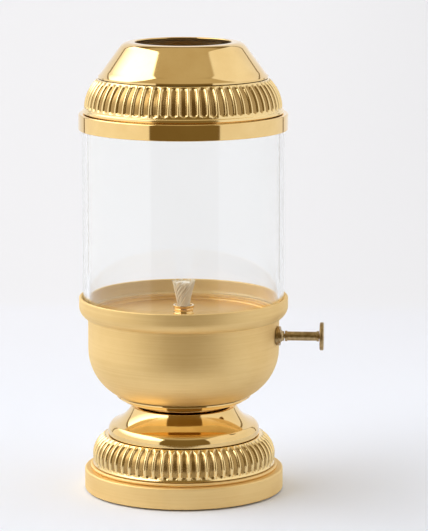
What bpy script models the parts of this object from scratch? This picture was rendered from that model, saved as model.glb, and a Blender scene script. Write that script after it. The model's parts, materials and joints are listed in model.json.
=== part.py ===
"""Brass table oil lamp: spun foot, oil bowl with a wick winder, glass chimney and lift-off cap.

Sizes are in millimetres and are turned into metres where the meshes are made. +Z is up. The
origin is the centre of the baize pad's underside, and +X runs out along the winder's spindle.
"""
import math

import bmesh
import bpy
from mathutils import Matrix

MM = 0.001

# Clearances
GAP = 0.3               # space left between two pieces that touch
RUNNING_GAP = 0.12      # radial space round the turning spindle
GLASS_FIT = 0.55        # radial space between the glass and the bowl's lip
CAP_FIT = 0.4           # radial space between the glass and the cap's skirt
PAN_FIT = 0.4           # radial space between the drip pan and the bowl
WICK_FIT = 0.3          # radial space between the wick and its tube
MESH_GAP = 0.2          # space between the wheel's teeth and the wick

# Facets round a full turn
BIG_STEPS = 40
SMALL_STEPS = 20
FLUTES = 63
FLUTED_STEPS = 2 * FLUTES

# Cutters
OVERSHOOT = 1.0         # a cutter's reach past the face that it goes through
BORE_REACH = 8.0        # reach of a side hole's cutter to each side of the bowl's wall
CURVE_REACH = 20.0      # half height of a cutter that follows the bowl's wall

# Foot
PAD_THICK = 1.6
PAD_PROUD = 0.6
PLINTH_R = 49.7
PLINTH_HEIGHT = 10.6
PLINTH_WALL = 3.0
PLINTH_EDGE = 1.0
PLINTH_STEP = 4.0       # from the plinth's side in to the fluted ring
PLINTH_BEAD = 0.85
PLINTH_BEAD_OUT = 0.2   # from the fluted ring's side out to the middle of the bead
PLINTH_SHOULDER = 2.2
RING_HEIGHT = 14.8
RING_WAIST = 4.6        # height of the fluted ring's widest line
RING_INSET = 6.6        # from the widest line in to the shelf
RING_WALL = 2.0
RING_FOOT = 1.0         # upright height under the bulge
RING_FOOT_WALL = 1.2    # extra wall at the foot of the ring
FLUTE_DEPTH = 0.9
FLUTE_MARGIN = 0.1      # plain height left above and below the flutes
NECK_INSET = 7.8        # from the fluted ring's widest line in to the neck
NECK_HEIGHT = 14.3
NECK_ROLL = 1.6
NECK_SHOULDER = 5.0
NECK_SHOULDER_TURN = 52.0   # degrees
NECK_FLARE = 11.7
NECK_COVE = 15.6
NECK_WALL = 2.4
NECK_WEB = 2.0
NECK_INSIDE_STEP = 1.0  # how far the hollow widens under the web

# Fixing between foot and bowl
STUD_R = 3.0
STUD_LENGTH = 12.0
WASHER_R = 8.0
WASHER_THICK = 1.2
NUT_FLATS = 11.0
NUT_THICK = 4.0
COLLAR_STEP = 2.2
COLLAR_WEB = 2.5
COLLAR_BEAD = 0.8
COLLAR_BEAD_TURN = 80.0     # degrees above the bead's widest line
COLLAR_FLARE = 9.5
COLLAR_ROUND = 13.0
COLLAR_EDGE = 0.6
COLLAR_EDGE_LEAN = 0.3      # how far the edge leans out, for each unit of its height
BELLY_REACH = 0.98          # largest share of the belly's curve that the collar covers

# Glass chimney
GLASS_OUTER_R = 50.0
GLASS_WALL = 3.0
GLASS_HEIGHT = 96.2

# Bowl
BOWL_HEIGHT = 52.1
BOWL_WALL = 1.2
BELLY_R = 26.0
LIP_WALL = 1.5
LIP_DEPTH = 6.8
LIP_ROUND = 0.4
LEDGE_SHOW = 0.55       # ledge left showing inside the glass
RIM_HEIGHT = 11.2
RIM_GROOVE = 1.0
RIM_GROOVE_STEP = 0.55
RIM_COVE_TOP = 5.2      # from the lip's top down to the head of the round under it
RIM_ROUND = 6.5
RIM_ROUND_OUT = 1.0     # from the groove out to the foot of the round
RIM_ROUND_UP = 0.3      # from the groove up to the foot of the round

# Drip pan, its support and the burner
PAN_DROP = 2.8
PAN_SHEET = 1.0
PAN_EDGE = 1.8
PAN_CORNER = 1.6
SUPPORT_WIDTH = 3.0
SUPPORT_THICK = 1.5
WICK_R = 3.2
WICK_LENGTH = 46.0
WICK_SHOW = 12.6
WICK_FLARE = 3.0
WICK_FLARE_START = 1.6
WICK_FLARE_MIDDLE = 0.4     # share of the flare reached half way up it
WICK_CUT = 1.5
WICK_CROWN = 0.8        # from the flare's edge in to the rounded top
TUBE_WALL = 0.4
TUBE_LENGTH = 25.2
BURNER_HEIGHT = 4.9
BURNER_WALL = 0.6
BURNER_BEAD = 0.6
BURNER_BEAD_UP = 0.9    # from the pan up to the middle of the bead
BURNER_FLANGE = 1.2
BURNER_UNDERCUT = 0.3
BURNER_EDGE = 0.2
LOCKNUT_FLATS = 12.0
LOCKNUT_THICK = 2.2

# Wick winder
WHEEL_TIP_R = 4.6
WHEEL_ROOT_R = 3.6
WHEEL_WIDTH = 2.5
WHEEL_TEETH = 12
WHEEL_CLEAR = 0.6
SLOT_SIDE = 0.75
SLOT_DEPTH = 4.7        # from the tube's front in to the back of the slot's sides
SPINDLE_R = 1.25
BUSH_R = 3.0
BUSH_FLANGE_R = 4.8
BUSH_FLANGE = 1.2
BUSH_NOSE = 2.0
BUSH_NOSE_FOOT_R = 3.9
BUSH_NOSE_R = 2.35
BUSH_TAIL = 8.1
SEAL_R = 5.0
SEAL_THICK = 2.2
GLAND_NUT_FLATS = 9.0
GLAND_NUT_THICK = 1.9
PACKING_R = 2.1
PACKING_LENGTH = 1.2
SLEEVE_R = 2.25
SLEEVE_RING = 0.35
SLEEVE_RING_WIDTH = 1.2
SLEEVE_LENGTH = 16.9
SLEEVE_START = 0.4
KNOB_R = 7.0
KNOB_THICK = 2.0
KNOB_EDGE = 0.5
KNOB_CAP = 1.0
THRUST_R = 2.6
THRUST_WIDTH = 1.5
BRACKET_THICK = 1.5
BRACKET_WIDTH = 8.0
BRACKET_FOOT = 7.0
BRACKET_CLEAR = 3.4     # from the wick tube out to the bracket
BRACKET_HEAD = 3.6
SPINDLE_TAIL = 1.5

# Cap
BAND_HEIGHT = 8.0
BAND_WALL = 1.4
BAND_WEB = 1.7
BAND_EDGE = 0.8
BAND_SEAT = 3.9
SPIGOT_WALL = 1.3
SPIGOT_DEPTH = 1.9
DOME_BEAD = 1.3
DOME_STEP = 2.2         # from the band's side in to the dome's bead
DOME_RISE = 17.0
DOME_WAIST = 2.2
DOME_WAIST_IN = 0.7     # from the bead in to the waist
DOME_GROOVE = 0.4       # height of the groove under the waist
DOME_START = 2.5        # degrees up the bulge where the flutes begin
DOME_INSET = 6.9
DOME_WALL = 1.5
DOME_SHELF = 4.6
CROWN_HEIGHT = 17.5
CROWN_BACK = 0.1        # from the dome's shelf edge in to the crown's foot
CROWN_FOOT = 0.9
CROWN_COVE = 3.5
CROWN_COVE_IN = 2.3
CROWN_COVE_STEP = (0.7, 1.2)    # out and down from the cone's foot to the middle of the cove
CROWN_LEAN = 36.3       # degrees from the cone's normal down to the horizontal
CROWN_ROUND = 6.0
CROWN_OPENING_R = 23.8
CROWN_WALL = 1.5

# Worked out from the sizes above, from the table up
plinth_base = PAD_PROUD
plinth_top = plinth_base + PLINTH_HEIGHT
ring_r = PLINTH_R - PLINTH_STEP
ring_base = plinth_top + 2 * PLINTH_BEAD + GAP
ring_top = ring_base + RING_HEIGHT
neck_base_r = ring_r - NECK_INSET
neck_top_r = neck_base_r - NECK_FLARE
neck_base = ring_top + GAP
neck_top = neck_base + NECK_HEIGHT
rebate_r = PLINTH_R - PLINTH_WALL
shoulder_r = rebate_r - PLINTH_SHOULDER
foot_hollow_r = ring_r - RING_WALL - RING_FOOT_WALL

collar_base = neck_top + GAP
collar_foot_r = neck_top_r - COLLAR_STEP
bowl_base = collar_base + COLLAR_WEB + GAP
stud_hole_r = STUD_R + GAP

glass_inner_r = GLASS_OUTER_R - GLASS_WALL
bowl_inner_r = glass_inner_r - LEDGE_SHOW
bowl_outer_r = bowl_inner_r + BOWL_WALL
belly_axis_r = bowl_outer_r - BELLY_R
belly_axis_z = bowl_base + BELLY_R
lip_top = bowl_base + BOWL_HEIGHT
lip_inner_r = GLASS_OUTER_R + GLASS_FIT
rim_outer_r = lip_inner_r + LIP_WALL
rim_base = lip_top - RIM_HEIGHT
ledge = lip_top - LIP_DEPTH

glass_base = ledge + GAP
glass_top = glass_base + GLASS_HEIGHT

pan_r = bowl_inner_r - PAN_FIT
pan_top = ledge - PAN_DROP
pan_base = pan_top - PAN_SHEET
tube_inner_r = WICK_R + WICK_FIT
tube_outer_r = tube_inner_r + TUBE_WALL
burner_bore_r = tube_outer_r + GAP
burner_base = pan_top + GAP
burner_top = burner_base + BURNER_HEIGHT
locknut_top = pan_base - GAP
tube_top = burner_top - GAP

spindle_y = -(WICK_R + MESH_GAP + WHEEL_TIP_R)
spindle_z = locknut_top - LOCKNUT_THICK - WHEEL_CLEAR - WHEEL_TIP_R
slot_top = spindle_z + WHEEL_TIP_R + SLOT_SIDE
fixed_bore_r = SPINDLE_R + GAP
running_bore_r = SPINDLE_R + RUNNING_GAP

far_wall_y = abs(spindle_y) + SEAL_R
wall_inside_x = math.sqrt(bowl_inner_r ** 2 - far_wall_y ** 2)
flange_face_r = bowl_outer_r + GAP + BUSH_FLANGE
bush_face_x = math.sqrt(flange_face_r ** 2 - spindle_y ** 2)
bush_nose_x = bush_face_x + BUSH_NOSE
seal_x = wall_inside_x - GAP - SEAL_THICK / 2
gland_nut_x = seal_x - GAP - GLAND_NUT_THICK
bush_tail_x = bush_face_x - BUSH_TAIL
sleeve_x = bush_nose_x + SLEEVE_START
knob_x = sleeve_x + SLEEVE_LENGTH + GAP
bracket_x = -(tube_outer_r + BRACKET_CLEAR + BRACKET_THICK)
thrust_x = bracket_x + BRACKET_THICK + GAP
bracket_base = bowl_base + BOWL_WALL + GAP

band_web_base = glass_top + GAP
band_top = band_web_base + BAND_WEB
skirt_inner_r = GLASS_OUTER_R + CAP_FIT
band_outer_r = skirt_inner_r + BAND_WALL
band_seat_r = skirt_inner_r - BAND_SEAT
spigot_r = band_seat_r - GAP
dome_base = band_top + GAP
dome_top = dome_base + DOME_RISE
dome_bead_r = band_outer_r - DOME_STEP
dome_waist_r = dome_bead_r - DOME_WAIST_IN
dome_shelf_r = dome_waist_r - DOME_INSET
dome_opening_r = dome_shelf_r - DOME_SHELF
crown_base = dome_top + GAP
crown_top = crown_base + CROWN_HEIGHT
crown_foot_r = dome_shelf_r - CROWN_BACK

LIGHT_BRASS = (0.80, 0.60, 0.30, 1.0)
WARM_BRASS = (0.76, 0.54, 0.24, 1.0)
DULL_BRASS = (0.46, 0.33, 0.15, 1.0)
FINISHES = {
    "polished_brass": (WARM_BRASS, 0.10, 1.0),
    "satin_brass": (LIGHT_BRASS, 0.32, 1.0),
    "fluted_brass": (LIGHT_BRASS, 0.20, 1.0),
    "dull_brass": (DULL_BRASS, 0.38, 1.0),
    "plain_steel": ((0.55, 0.55, 0.56, 1.0), 0.35, 1.0),
    "clear_glass": ((0.92, 0.95, 0.96, 0.35), 0.03, 0.0),
    "cotton": ((0.86, 0.80, 0.70, 1.0), 0.90, 0.0),
    "baize": ((0.05, 0.14, 0.09, 1.0), 0.95, 0.0),
    "nitrile": ((0.04, 0.04, 0.04, 1.0), 0.60, 0.0),
}


def start_empty():
    for scene_object in list(bpy.data.objects):
        bpy.data.objects.remove(scene_object, do_unlink=True)


def finish(name):
    """The named finish's material, made the first time it is asked for."""
    material = bpy.data.materials.get(name)
    if material:
        return material
    colour, roughness, metallic = FINISHES[name]
    material = bpy.data.materials.new(name)
    material.use_nodes = True
    shader = material.node_tree.nodes["Principled BSDF"]
    shader.inputs["Base Color"].default_value = colour
    shader.inputs["Roughness"].default_value = roughness
    shader.inputs["Metallic"].default_value = metallic
    return material


def arc(centre, radius, start, end, pieces):
    """Points from start to end degrees round centre, both ends included."""
    points = []
    for index in range(pieces + 1):
        angle = math.radians(start + (end - start) * index / pieces)
        points.append((centre[0] + radius * math.cos(angle), centre[1] + radius * math.sin(angle)))
    return points


def arc_between(first, last, radius, pieces):
    """Arc from first to last that bows to the right of the way, or to the left if radius is negative."""
    run, rise = last[0] - first[0], last[1] - first[1]
    chord = math.hypot(run, rise)
    size = max(abs(radius), 0.505 * chord)
    reach = math.sqrt(size ** 2 - (chord / 2) ** 2)
    side = 1 if radius > 0 else -1
    centre = (first[0] + run / 2 - side * reach * rise / chord,
              first[1] + rise / 2 + side * reach * run / chord)
    start = math.degrees(math.atan2(first[1] - centre[1], first[0] - centre[0]))
    end = math.degrees(math.atan2(last[1] - centre[1], last[0] - centre[0]))
    turn = (end - start + 180) % 360 - 180
    return arc(centre, size, start, start + turn, pieces)


def place(name, mesh, finish_name, parent, location, turn=(0, 0, 0)):
    piece = bpy.data.objects.new(name, mesh)
    mesh.materials.append(finish(finish_name))
    mesh.shade_smooth()
    mesh.set_sharp_from_angle(angle=math.radians(35))
    bpy.context.scene.collection.objects.link(piece)
    piece.parent = parent
    piece.location = [value * MM for value in location]
    piece.rotation_euler = turn
    return piece


def turned_mesh(name, outline, steps, ripple=None):
    """Spin an outline of (radius, height) points once round the axis into a closed mesh.

    An outline that starts and ends on the axis is left open there, and any other is closed.
    ripple(step, radius, height) may give a point another radius.
    """
    shape = bmesh.new()
    corners = [shape.verts.new((radius * MM, 0, height * MM)) for radius, height in outline]
    pairs = list(zip(corners, corners[1:]))
    if outline[0][0] > 0:
        pairs.append((corners[-1], corners[0]))
    sides = [shape.edges.new(pair) for pair in pairs]
    bmesh.ops.spin(shape, geom=corners + sides, cent=(0, 0, 0), axis=(0, 0, 1),
                   angle=2 * math.pi, steps=steps, use_merge=True)
    bmesh.ops.remove_doubles(shape, verts=shape.verts, dist=1e-6)
    if ripple:
        for corner in shape.verts:
            radius = math.hypot(corner.co.x, corner.co.y)
            if radius < 1e-9:
                continue
            step = round(math.atan2(corner.co.y, corner.co.x) / (2 * math.pi) * steps) % steps
            wanted = ripple(step, radius / MM, corner.co.z / MM) * MM
            corner.co.x *= wanted / radius
            corner.co.y *= wanted / radius
    bmesh.ops.recalc_face_normals(shape, faces=shape.faces)
    mesh = bpy.data.meshes.new(name)
    shape.to_mesh(mesh)
    shape.free()
    return mesh


def turned(name, outline, finish_name, parent, steps=BIG_STEPS, ripple=None):
    """A turned piece whose axis is the lamp's own."""
    return place(name, turned_mesh(name, outline, steps, ripple), finish_name, parent, (0, 0, 0))


def turned_on_spindle(name, outline, finish_name, parent, steps=SMALL_STEPS, ripple=None):
    """A turned piece on the spindle's axis: its outline's heights run along +X."""
    mesh = turned_mesh(name, outline, steps, ripple)
    location = (0, 0, 0) if parent.name == "winder_axis" else (0, spindle_y, spindle_z)
    return place(name, mesh, finish_name, parent, location, (0, math.pi / 2, 0))


def tube_outline(inner, outer, low, high):
    return [(inner, low), (outer, low), (outer, high), (inner, high)]


def rod_outline(radius, low, high):
    return [(0, low), (radius, low), (radius, high), (0, high)]


def hexagon(flats, steps):
    """Ripple that gives everything outside a nut's bore its six flats."""
    def shape(step, radius, height):
        if radius < flats * 0.45:
            return radius
        from_flat = (360 * step / steps + 30) % 60 - 30
        return flats / 2 / math.cos(math.radians(from_flat))
    return shape


def nut_outline(bore, flats, low, high):
    return tube_outline(bore, flats / 2, low, high)


def as_cutter(cutter):
    cutter.hide_render = True
    cutter.display_type = 'WIRE'
    return cutter


def combine(piece, operation, other):
    modifier = piece.modifiers.new(operation.lower(), 'BOOLEAN')
    modifier.operation = operation
    modifier.object = as_cutter(other)
    modifier.solver = 'EXACT'


def block(name, low, high, finish_name, parent):
    """A box between two opposite corners."""
    shape = bmesh.new()
    bmesh.ops.create_cube(shape, size=1)
    size = [(b - a) * MM for a, b in zip(low, high)]
    bmesh.ops.transform(shape, matrix=Matrix.Diagonal((*size, 1)), verts=shape.verts)
    mesh = bpy.data.meshes.new(name)
    shape.to_mesh(mesh)
    shape.free()
    middle = [(a + b) / 2 for a, b in zip(low, high)]
    return place(name, mesh, finish_name, parent, middle)


def axis_empty(name, location, parent=None):
    empty = bpy.data.objects.new(name, None)
    bpy.context.scene.collection.objects.link(empty)
    empty.parent = parent
    empty.location = [value * MM for value in location]
    return empty


def flutes(low, high):
    """Ripple that sinks every second column of points between two heights."""
    def shape(step, radius, height):
        inside = low < height < high
        return radius - FLUTE_DEPTH if inside and step % 2 else radius
    return shape


def bulge(widest, waist_z, inset, top_z):
    """Centre and radius of the arc that leaves waist_z upright and has come in by inset at top_z."""
    rise = top_z - waist_z
    radius = (inset ** 2 + rise ** 2) / (2 * inset)
    return (widest - radius, waist_z), radius


def make_baize_pad(root):
    turned("baize_pad", rod_outline(rebate_r - GAP, 0, PAD_THICK), "baize", root)


def make_plinth(root):
    edge = arc((PLINTH_R - PLINTH_EDGE, plinth_top - PLINTH_EDGE), PLINTH_EDGE, 0, 90, 2)
    bead = arc((ring_r + PLINTH_BEAD_OUT, plinth_top + PLINTH_BEAD), PLINTH_BEAD, -90, 90, 3)
    pad_seat = PAD_THICK + GAP
    outline = [(rebate_r, plinth_base), (PLINTH_R, plinth_base)] + edge + bead
    outline += [(foot_hollow_r, plinth_top + 2 * PLINTH_BEAD), (shoulder_r, plinth_top - RING_WALL),
                (shoulder_r, pad_seat), (rebate_r, pad_seat)]
    turned("plinth", outline, "satin_brass", root)


def make_foot_fluted_ring(root):
    waist_z = ring_base + RING_WAIST
    centre, radius = bulge(ring_r, waist_z, RING_INSET, ring_top)
    low_angle = math.degrees(math.asin((ring_base + RING_FOOT - waist_z) / radius))
    high_angle = math.degrees(math.asin((ring_top - waist_z) / radius))
    outside = arc(centre, radius, low_angle, high_angle, 5)
    outline = [(0, ring_base), (ring_r, ring_base)] + outside + [(0, ring_top)]
    ripple = flutes(outside[0][1] + FLUTE_MARGIN, ring_top - FLUTE_MARGIN)
    ring = turned("foot_fluted_ring", outline, "fluted_brass", root, FLUTED_STEPS, ripple)
    under_shelf = ring_top - RING_WALL
    shelf_hole_r = neck_base_r - NECK_WALL - RING_WALL
    hollow_top_r = centre[0] + math.sqrt((radius - RING_WALL) ** 2 - (under_shelf - waist_z) ** 2)
    hollow = [(0, ring_base - OVERSHOOT), (foot_hollow_r, ring_base - OVERSHOOT), (foot_hollow_r, waist_z),
              (hollow_top_r - FLUTE_DEPTH, under_shelf), (shelf_hole_r, under_shelf),
              (shelf_hole_r, ring_top + OVERSHOOT), (0, ring_top + OVERSHOOT)]
    combine(ring, 'DIFFERENCE', turned("foot_ring_hollow", hollow, "fluted_brass", root))


def make_foot_neck(root):
    roll_r = neck_base_r - NECK_ROLL
    shoulder_centre = (neck_base_r - NECK_SHOULDER, neck_base + NECK_ROLL)
    shoulder = arc(shoulder_centre, NECK_SHOULDER, 0, NECK_SHOULDER_TURN, 3)
    cove = arc_between(shoulder[-1], (neck_top_r, neck_top), -NECK_COVE, 4)
    web_base = neck_top - NECK_WEB
    inside_top_r = neck_top_r - NECK_WALL
    outline = [(roll_r, neck_base)] + shoulder + cove[1:]
    outline += [(stud_hole_r, neck_top), (stud_hole_r, web_base), (inside_top_r, web_base),
                (inside_top_r + NECK_INSIDE_STEP, cove[2][1] - NECK_WALL),
                (roll_r - NECK_WALL, neck_base + NECK_ROLL),
                (roll_r - NECK_WALL, neck_base)]
    turned("foot_neck", outline, "polished_brass", root)


def make_bowl_collar(root):
    bead_centre = (collar_foot_r - COLLAR_BEAD, collar_base + COLLAR_BEAD)
    bead = arc(bead_centre, COLLAR_BEAD, -90, COLLAR_BEAD_TURN, 3)
    belly = (belly_axis_r, belly_axis_z)
    rim_r = collar_foot_r + COLLAR_FLARE
    seat_angle = -math.degrees(math.acos(min(BELLY_REACH, (rim_r - belly_axis_r) / (BELLY_R + GAP))))
    seat = arc(belly, BELLY_R + GAP, seat_angle, -90, 4)
    lip = (seat[0][0] + COLLAR_EDGE_LEAN * COLLAR_EDGE, seat[0][1] - COLLAR_EDGE)
    side = arc_between(bead[-1], lip, COLLAR_ROUND, 4)
    outline = [(stud_hole_r, collar_base)] + bead + side[1:] + seat + [(stud_hole_r, seat[-1][1])]
    turned("bowl_collar", outline, "polished_brass", root)


def make_fixing(root):
    """Stud soldered under the bowl, and the washer and nut that hold the foot to it."""
    stud_top = bowl_base - GAP
    turned("fixing_stud", rod_outline(STUD_R, stud_top - STUD_LENGTH, stud_top), "plain_steel", root,
           SMALL_STEPS)
    washer_top = neck_top - NECK_WEB - GAP
    washer_base = washer_top - WASHER_THICK
    turned("fixing_washer", tube_outline(stud_hole_r, WASHER_R, washer_base, washer_top),
           "plain_steel", root, SMALL_STEPS)
    nut_top = washer_base - GAP
    turned("fixing_nut", nut_outline(stud_hole_r, NUT_FLATS, nut_top - NUT_THICK, nut_top),
           "plain_steel", root, 24, hexagon(NUT_FLATS, 24))


def make_bowl(root):
    belly = arc((belly_axis_r, belly_axis_z), BELLY_R, -90, 0, 6)
    groove_r = bowl_outer_r + RIM_GROOVE_STEP
    round_foot = (groove_r + RIM_ROUND_OUT, rim_base + RIM_GROOVE + RIM_ROUND_UP)
    under_lip = arc_between(round_foot, (rim_outer_r, lip_top - RIM_COVE_TOP), RIM_ROUND, 3)
    lip = [(rim_outer_r, lip_top - LIP_ROUND), (rim_outer_r - LIP_ROUND, lip_top),
           (lip_inner_r + LIP_ROUND, lip_top), (lip_inner_r, lip_top - LIP_ROUND)]
    inner_belly = arc((belly_axis_r, belly_axis_z), BELLY_R - BOWL_WALL, 0, -90, 5)
    outline = [(0, bowl_base)] + belly + [(bowl_outer_r, rim_base), (groove_r, rim_base),
                                          (groove_r, rim_base + RIM_GROOVE)]
    outline += under_lip + lip + [(lip_inner_r, ledge), (bowl_inner_r, ledge)] + inner_belly
    outline += [(0, bowl_base + BOWL_WALL)]
    bowl = turned("bowl", outline, "satin_brass", root)
    hole = rod_outline(BUSH_R + GAP, bowl_inner_r - BORE_REACH, bowl_outer_r + BORE_REACH)
    combine(bowl, 'DIFFERENCE', turned_on_spindle("gland_hole", hole, "satin_brass", root))


def make_pan_support(root):
    outer = bowl_inner_r - GAP
    top = pan_base - GAP
    turned("pan_support_ring", tube_outline(outer - SUPPORT_WIDTH, outer, top - SUPPORT_THICK, top),
           "satin_brass", root)


def make_winder_gland(root):
    """Threaded bush through the bowl's wall, with its seal, nut and packing ring inside."""
    wall_low, wall_high = spindle_z - CURVE_REACH, spindle_z + CURVE_REACH
    flange = rod_outline(BUSH_FLANGE_R, bowl_inner_r - BORE_REACH, bowl_outer_r + BORE_REACH)
    bush = turned_on_spindle("gland_bush", flange, "dull_brass", root)
    face = turned("flange_face_cut", rod_outline(flange_face_r, wall_low, wall_high), "dull_brass", root)
    combine(bush, 'INTERSECT', face)
    nose = [(0, bowl_inner_r - BORE_REACH), (BUSH_NOSE_FOOT_R, bowl_inner_r - BORE_REACH),
            (BUSH_NOSE_FOOT_R, bush_face_x), (BUSH_NOSE_R, bush_nose_x), (0, bush_nose_x)]
    combine(bush, 'UNION', turned_on_spindle("bush_nose", nose, "dull_brass", root))
    against_bowl = rod_outline(bowl_outer_r + GAP, wall_low, wall_high)
    combine(bush, 'DIFFERENCE', turned("bush_back_cut", against_bowl, "dull_brass", root))
    tail = rod_outline(BUSH_R, bush_tail_x, bush_face_x)
    combine(bush, 'UNION', turned_on_spindle("bush_tail", tail, "dull_brass", root))
    packing_low = wall_inside_x - PACKING_LENGTH
    packing_high = wall_inside_x
    bore = [(0, bush_tail_x - OVERSHOOT), (running_bore_r, bush_tail_x - OVERSHOOT),
            (running_bore_r, packing_low - GAP), (PACKING_R + GAP, packing_low - GAP),
            (PACKING_R + GAP, packing_high + GAP), (running_bore_r, packing_high + GAP),
            (running_bore_r, bush_nose_x + OVERSHOOT), (0, bush_nose_x + OVERSHOOT)]
    combine(bush, 'DIFFERENCE', turned_on_spindle("bush_bore", bore, "dull_brass", root))
    packing = tube_outline(running_bore_r, PACKING_R, packing_low, packing_high)
    turned_on_spindle("packing_ring", packing, "nitrile", root)

    hole_r = BUSH_R + GAP
    seal = turned_on_spindle("gland_seal", tube_outline(hole_r, SEAL_R, seal_x, seal_x + 2 * SEAL_THICK),
                             "nitrile", root)
    inside_bowl = rod_outline(bowl_inner_r - GAP, wall_low, wall_high)
    combine(seal, 'INTERSECT', turned("seal_face_cut", inside_bowl, "nitrile", root))
    nut = nut_outline(hole_r, GLAND_NUT_FLATS, gland_nut_x, gland_nut_x + GLAND_NUT_THICK)
    turned_on_spindle("gland_nut", nut, "dull_brass", root, 24, hexagon(GLAND_NUT_FLATS, 24))


def make_spindle_bracket(root):
    """Bent strip on the bowl's floor that carries the spindle's inner end."""
    low_y = spindle_y - BRACKET_WIDTH / 2
    high_y = spindle_y + BRACKET_WIDTH / 2
    foot_top = bracket_base + BRACKET_THICK
    post = block("spindle_bracket", (bracket_x, low_y, bracket_base),
                 (bracket_x + BRACKET_THICK, high_y, spindle_z + BRACKET_HEAD), "satin_brass", root)
    foot = block("bracket_foot", (bracket_x + BRACKET_THICK / 2, low_y, bracket_base),
                 (bracket_x + BRACKET_FOOT, high_y, foot_top), "satin_brass", root)
    combine(post, 'UNION', foot)
    hole = rod_outline(running_bore_r, bracket_x - OVERSHOOT, bracket_x + BRACKET_THICK + OVERSHOOT)
    combine(post, 'DIFFERENCE', turned_on_spindle("bracket_hole", hole, "satin_brass", root))


def make_winder(axis):
    """Everything that turns with the knob."""
    spindle = rod_outline(SPINDLE_R, bracket_x - SPINDLE_TAIL, knob_x + KNOB_THICK - KNOB_CAP - GAP)
    turned_on_spindle("spindle", spindle, "dull_brass", axis)

    def teeth(step, radius, height):
        if radius < WHEEL_ROOT_R:
            return radius
        return WHEEL_TIP_R if step % 4 in (1, 2) else WHEEL_ROOT_R

    wheel = tube_outline(fixed_bore_r, WHEEL_TIP_R, -WHEEL_WIDTH / 2, WHEEL_WIDTH / 2)
    turned_on_spindle("spur_wheel", wheel, "dull_brass", axis, 4 * WHEEL_TEETH, teeth)
    thrust = tube_outline(fixed_bore_r, THRUST_R, thrust_x, thrust_x + THRUST_WIDTH)
    turned_on_spindle("thrust_collar", thrust, "dull_brass", axis)

    sleeve_end = sleeve_x + SLEEVE_LENGTH
    ring_in = sleeve_x + SLEEVE_RING_WIDTH
    ring_out = sleeve_end - SLEEVE_RING_WIDTH
    ring_outer_r = SLEEVE_R + SLEEVE_RING
    sleeve = [(fixed_bore_r, sleeve_x), (ring_outer_r, sleeve_x), (ring_outer_r, ring_in),
              (SLEEVE_R, ring_in), (SLEEVE_R, ring_out), (ring_outer_r, ring_out),
              (ring_outer_r, sleeve_end), (fixed_bore_r, sleeve_end)]
    turned_on_spindle("knob_sleeve", sleeve, "dull_brass", axis)

    knob_end = knob_x + KNOB_THICK
    edge = arc((KNOB_R - KNOB_EDGE, knob_x + KNOB_EDGE), KNOB_EDGE, -90, 0, 1)
    edge += arc((KNOB_R - KNOB_EDGE, knob_end - KNOB_EDGE), KNOB_EDGE, 0, 90, 1)
    socket_end = knob_end - KNOB_CAP
    knob = [(0, socket_end), (fixed_bore_r, socket_end), (fixed_bore_r, knob_x)] + edge + [(0, knob_end)]
    turned_on_spindle("knob_disc", knob, "dull_brass", axis, 28)


def make_burner(lift):
    corner = arc((pan_r - PAN_CORNER, pan_base + PAN_CORNER), PAN_CORNER, -90, 0, 2)
    bend = arc((pan_r - PAN_CORNER, pan_base + PAN_CORNER), PAN_CORNER - PAN_SHEET, 0, -90, 2)
    pan_edge = pan_top + PAN_EDGE
    pan = [(burner_bore_r, pan_base)] + corner + [(pan_r, pan_edge), (pan_r - PAN_SHEET, pan_edge)]
    pan += bend + [(burner_bore_r, pan_top)]
    turned("drip_pan", pan, "satin_brass", lift)

    tube = turned("wick_tube", tube_outline(tube_inner_r, tube_outer_r, tube_top - TUBE_LENGTH, tube_top),
                  "satin_brass", lift, SMALL_STEPS)
    slot_half = WHEEL_WIDTH / 2 + SLOT_SIDE
    slot_front = -tube_outer_r - OVERSHOOT
    slot = block("tube_slot", (-slot_half, slot_front, tube_top - TUBE_LENGTH - OVERSHOOT),
                 (slot_half, slot_front + SLOT_DEPTH, slot_top), "satin_brass", lift)
    combine(tube, 'DIFFERENCE', slot)

    body_r = burner_bore_r + BURNER_WALL
    flange_r = body_r + BURNER_WALL
    bead = arc((body_r, burner_base + BURNER_BEAD_UP), BURNER_BEAD, -90, 90, 2)
    collar = [(burner_bore_r, burner_base), (body_r, burner_base)] + bead
    collar += [(body_r, burner_top - BURNER_FLANGE),
               (flange_r, burner_top - BURNER_FLANGE + BURNER_UNDERCUT),
               (flange_r, burner_top - BURNER_EDGE), (flange_r - BURNER_EDGE, burner_top),
               (burner_bore_r, burner_top)]
    turned("burner_collar", collar, "polished_brass", lift, 24)
    locknut = nut_outline(burner_bore_r, LOCKNUT_FLATS, locknut_top - LOCKNUT_THICK, locknut_top)
    turned("burner_locknut", locknut, "polished_brass", lift, 24, hexagon(LOCKNUT_FLATS, 24))


def make_wick(feed):
    top = burner_top + WICK_SHOW
    flare_base = burner_top + WICK_FLARE_START
    flare_middle = (flare_base + top) / 2
    cut_r = WICK_R + WICK_FLARE
    outline = [(0, top - WICK_LENGTH), (WICK_R, top - WICK_LENGTH), (WICK_R, flare_base),
               (WICK_R + WICK_FLARE_MIDDLE * WICK_FLARE, flare_middle), (cut_r, top - WICK_CUT),
               (cut_r - WICK_CROWN, top - WICK_CUT / 3), (0, top)]
    turned("wick", outline, "cotton", feed, SMALL_STEPS)


def make_glass_chimney(lift):
    turned("glass_chimney", tube_outline(glass_inner_r, GLASS_OUTER_R, glass_base, glass_top),
           "clear_glass", lift)


def make_cap_band(lift):
    low = band_top - BAND_HEIGHT
    outline = [(skirt_inner_r, low), (band_outer_r, low), (band_outer_r, band_top - BAND_EDGE),
               (band_outer_r - BAND_EDGE, band_top), (band_seat_r, band_top),
               (band_seat_r, band_web_base), (skirt_inner_r, band_web_base)]
    turned("cap_band", outline, "polished_brass", lift)


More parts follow.
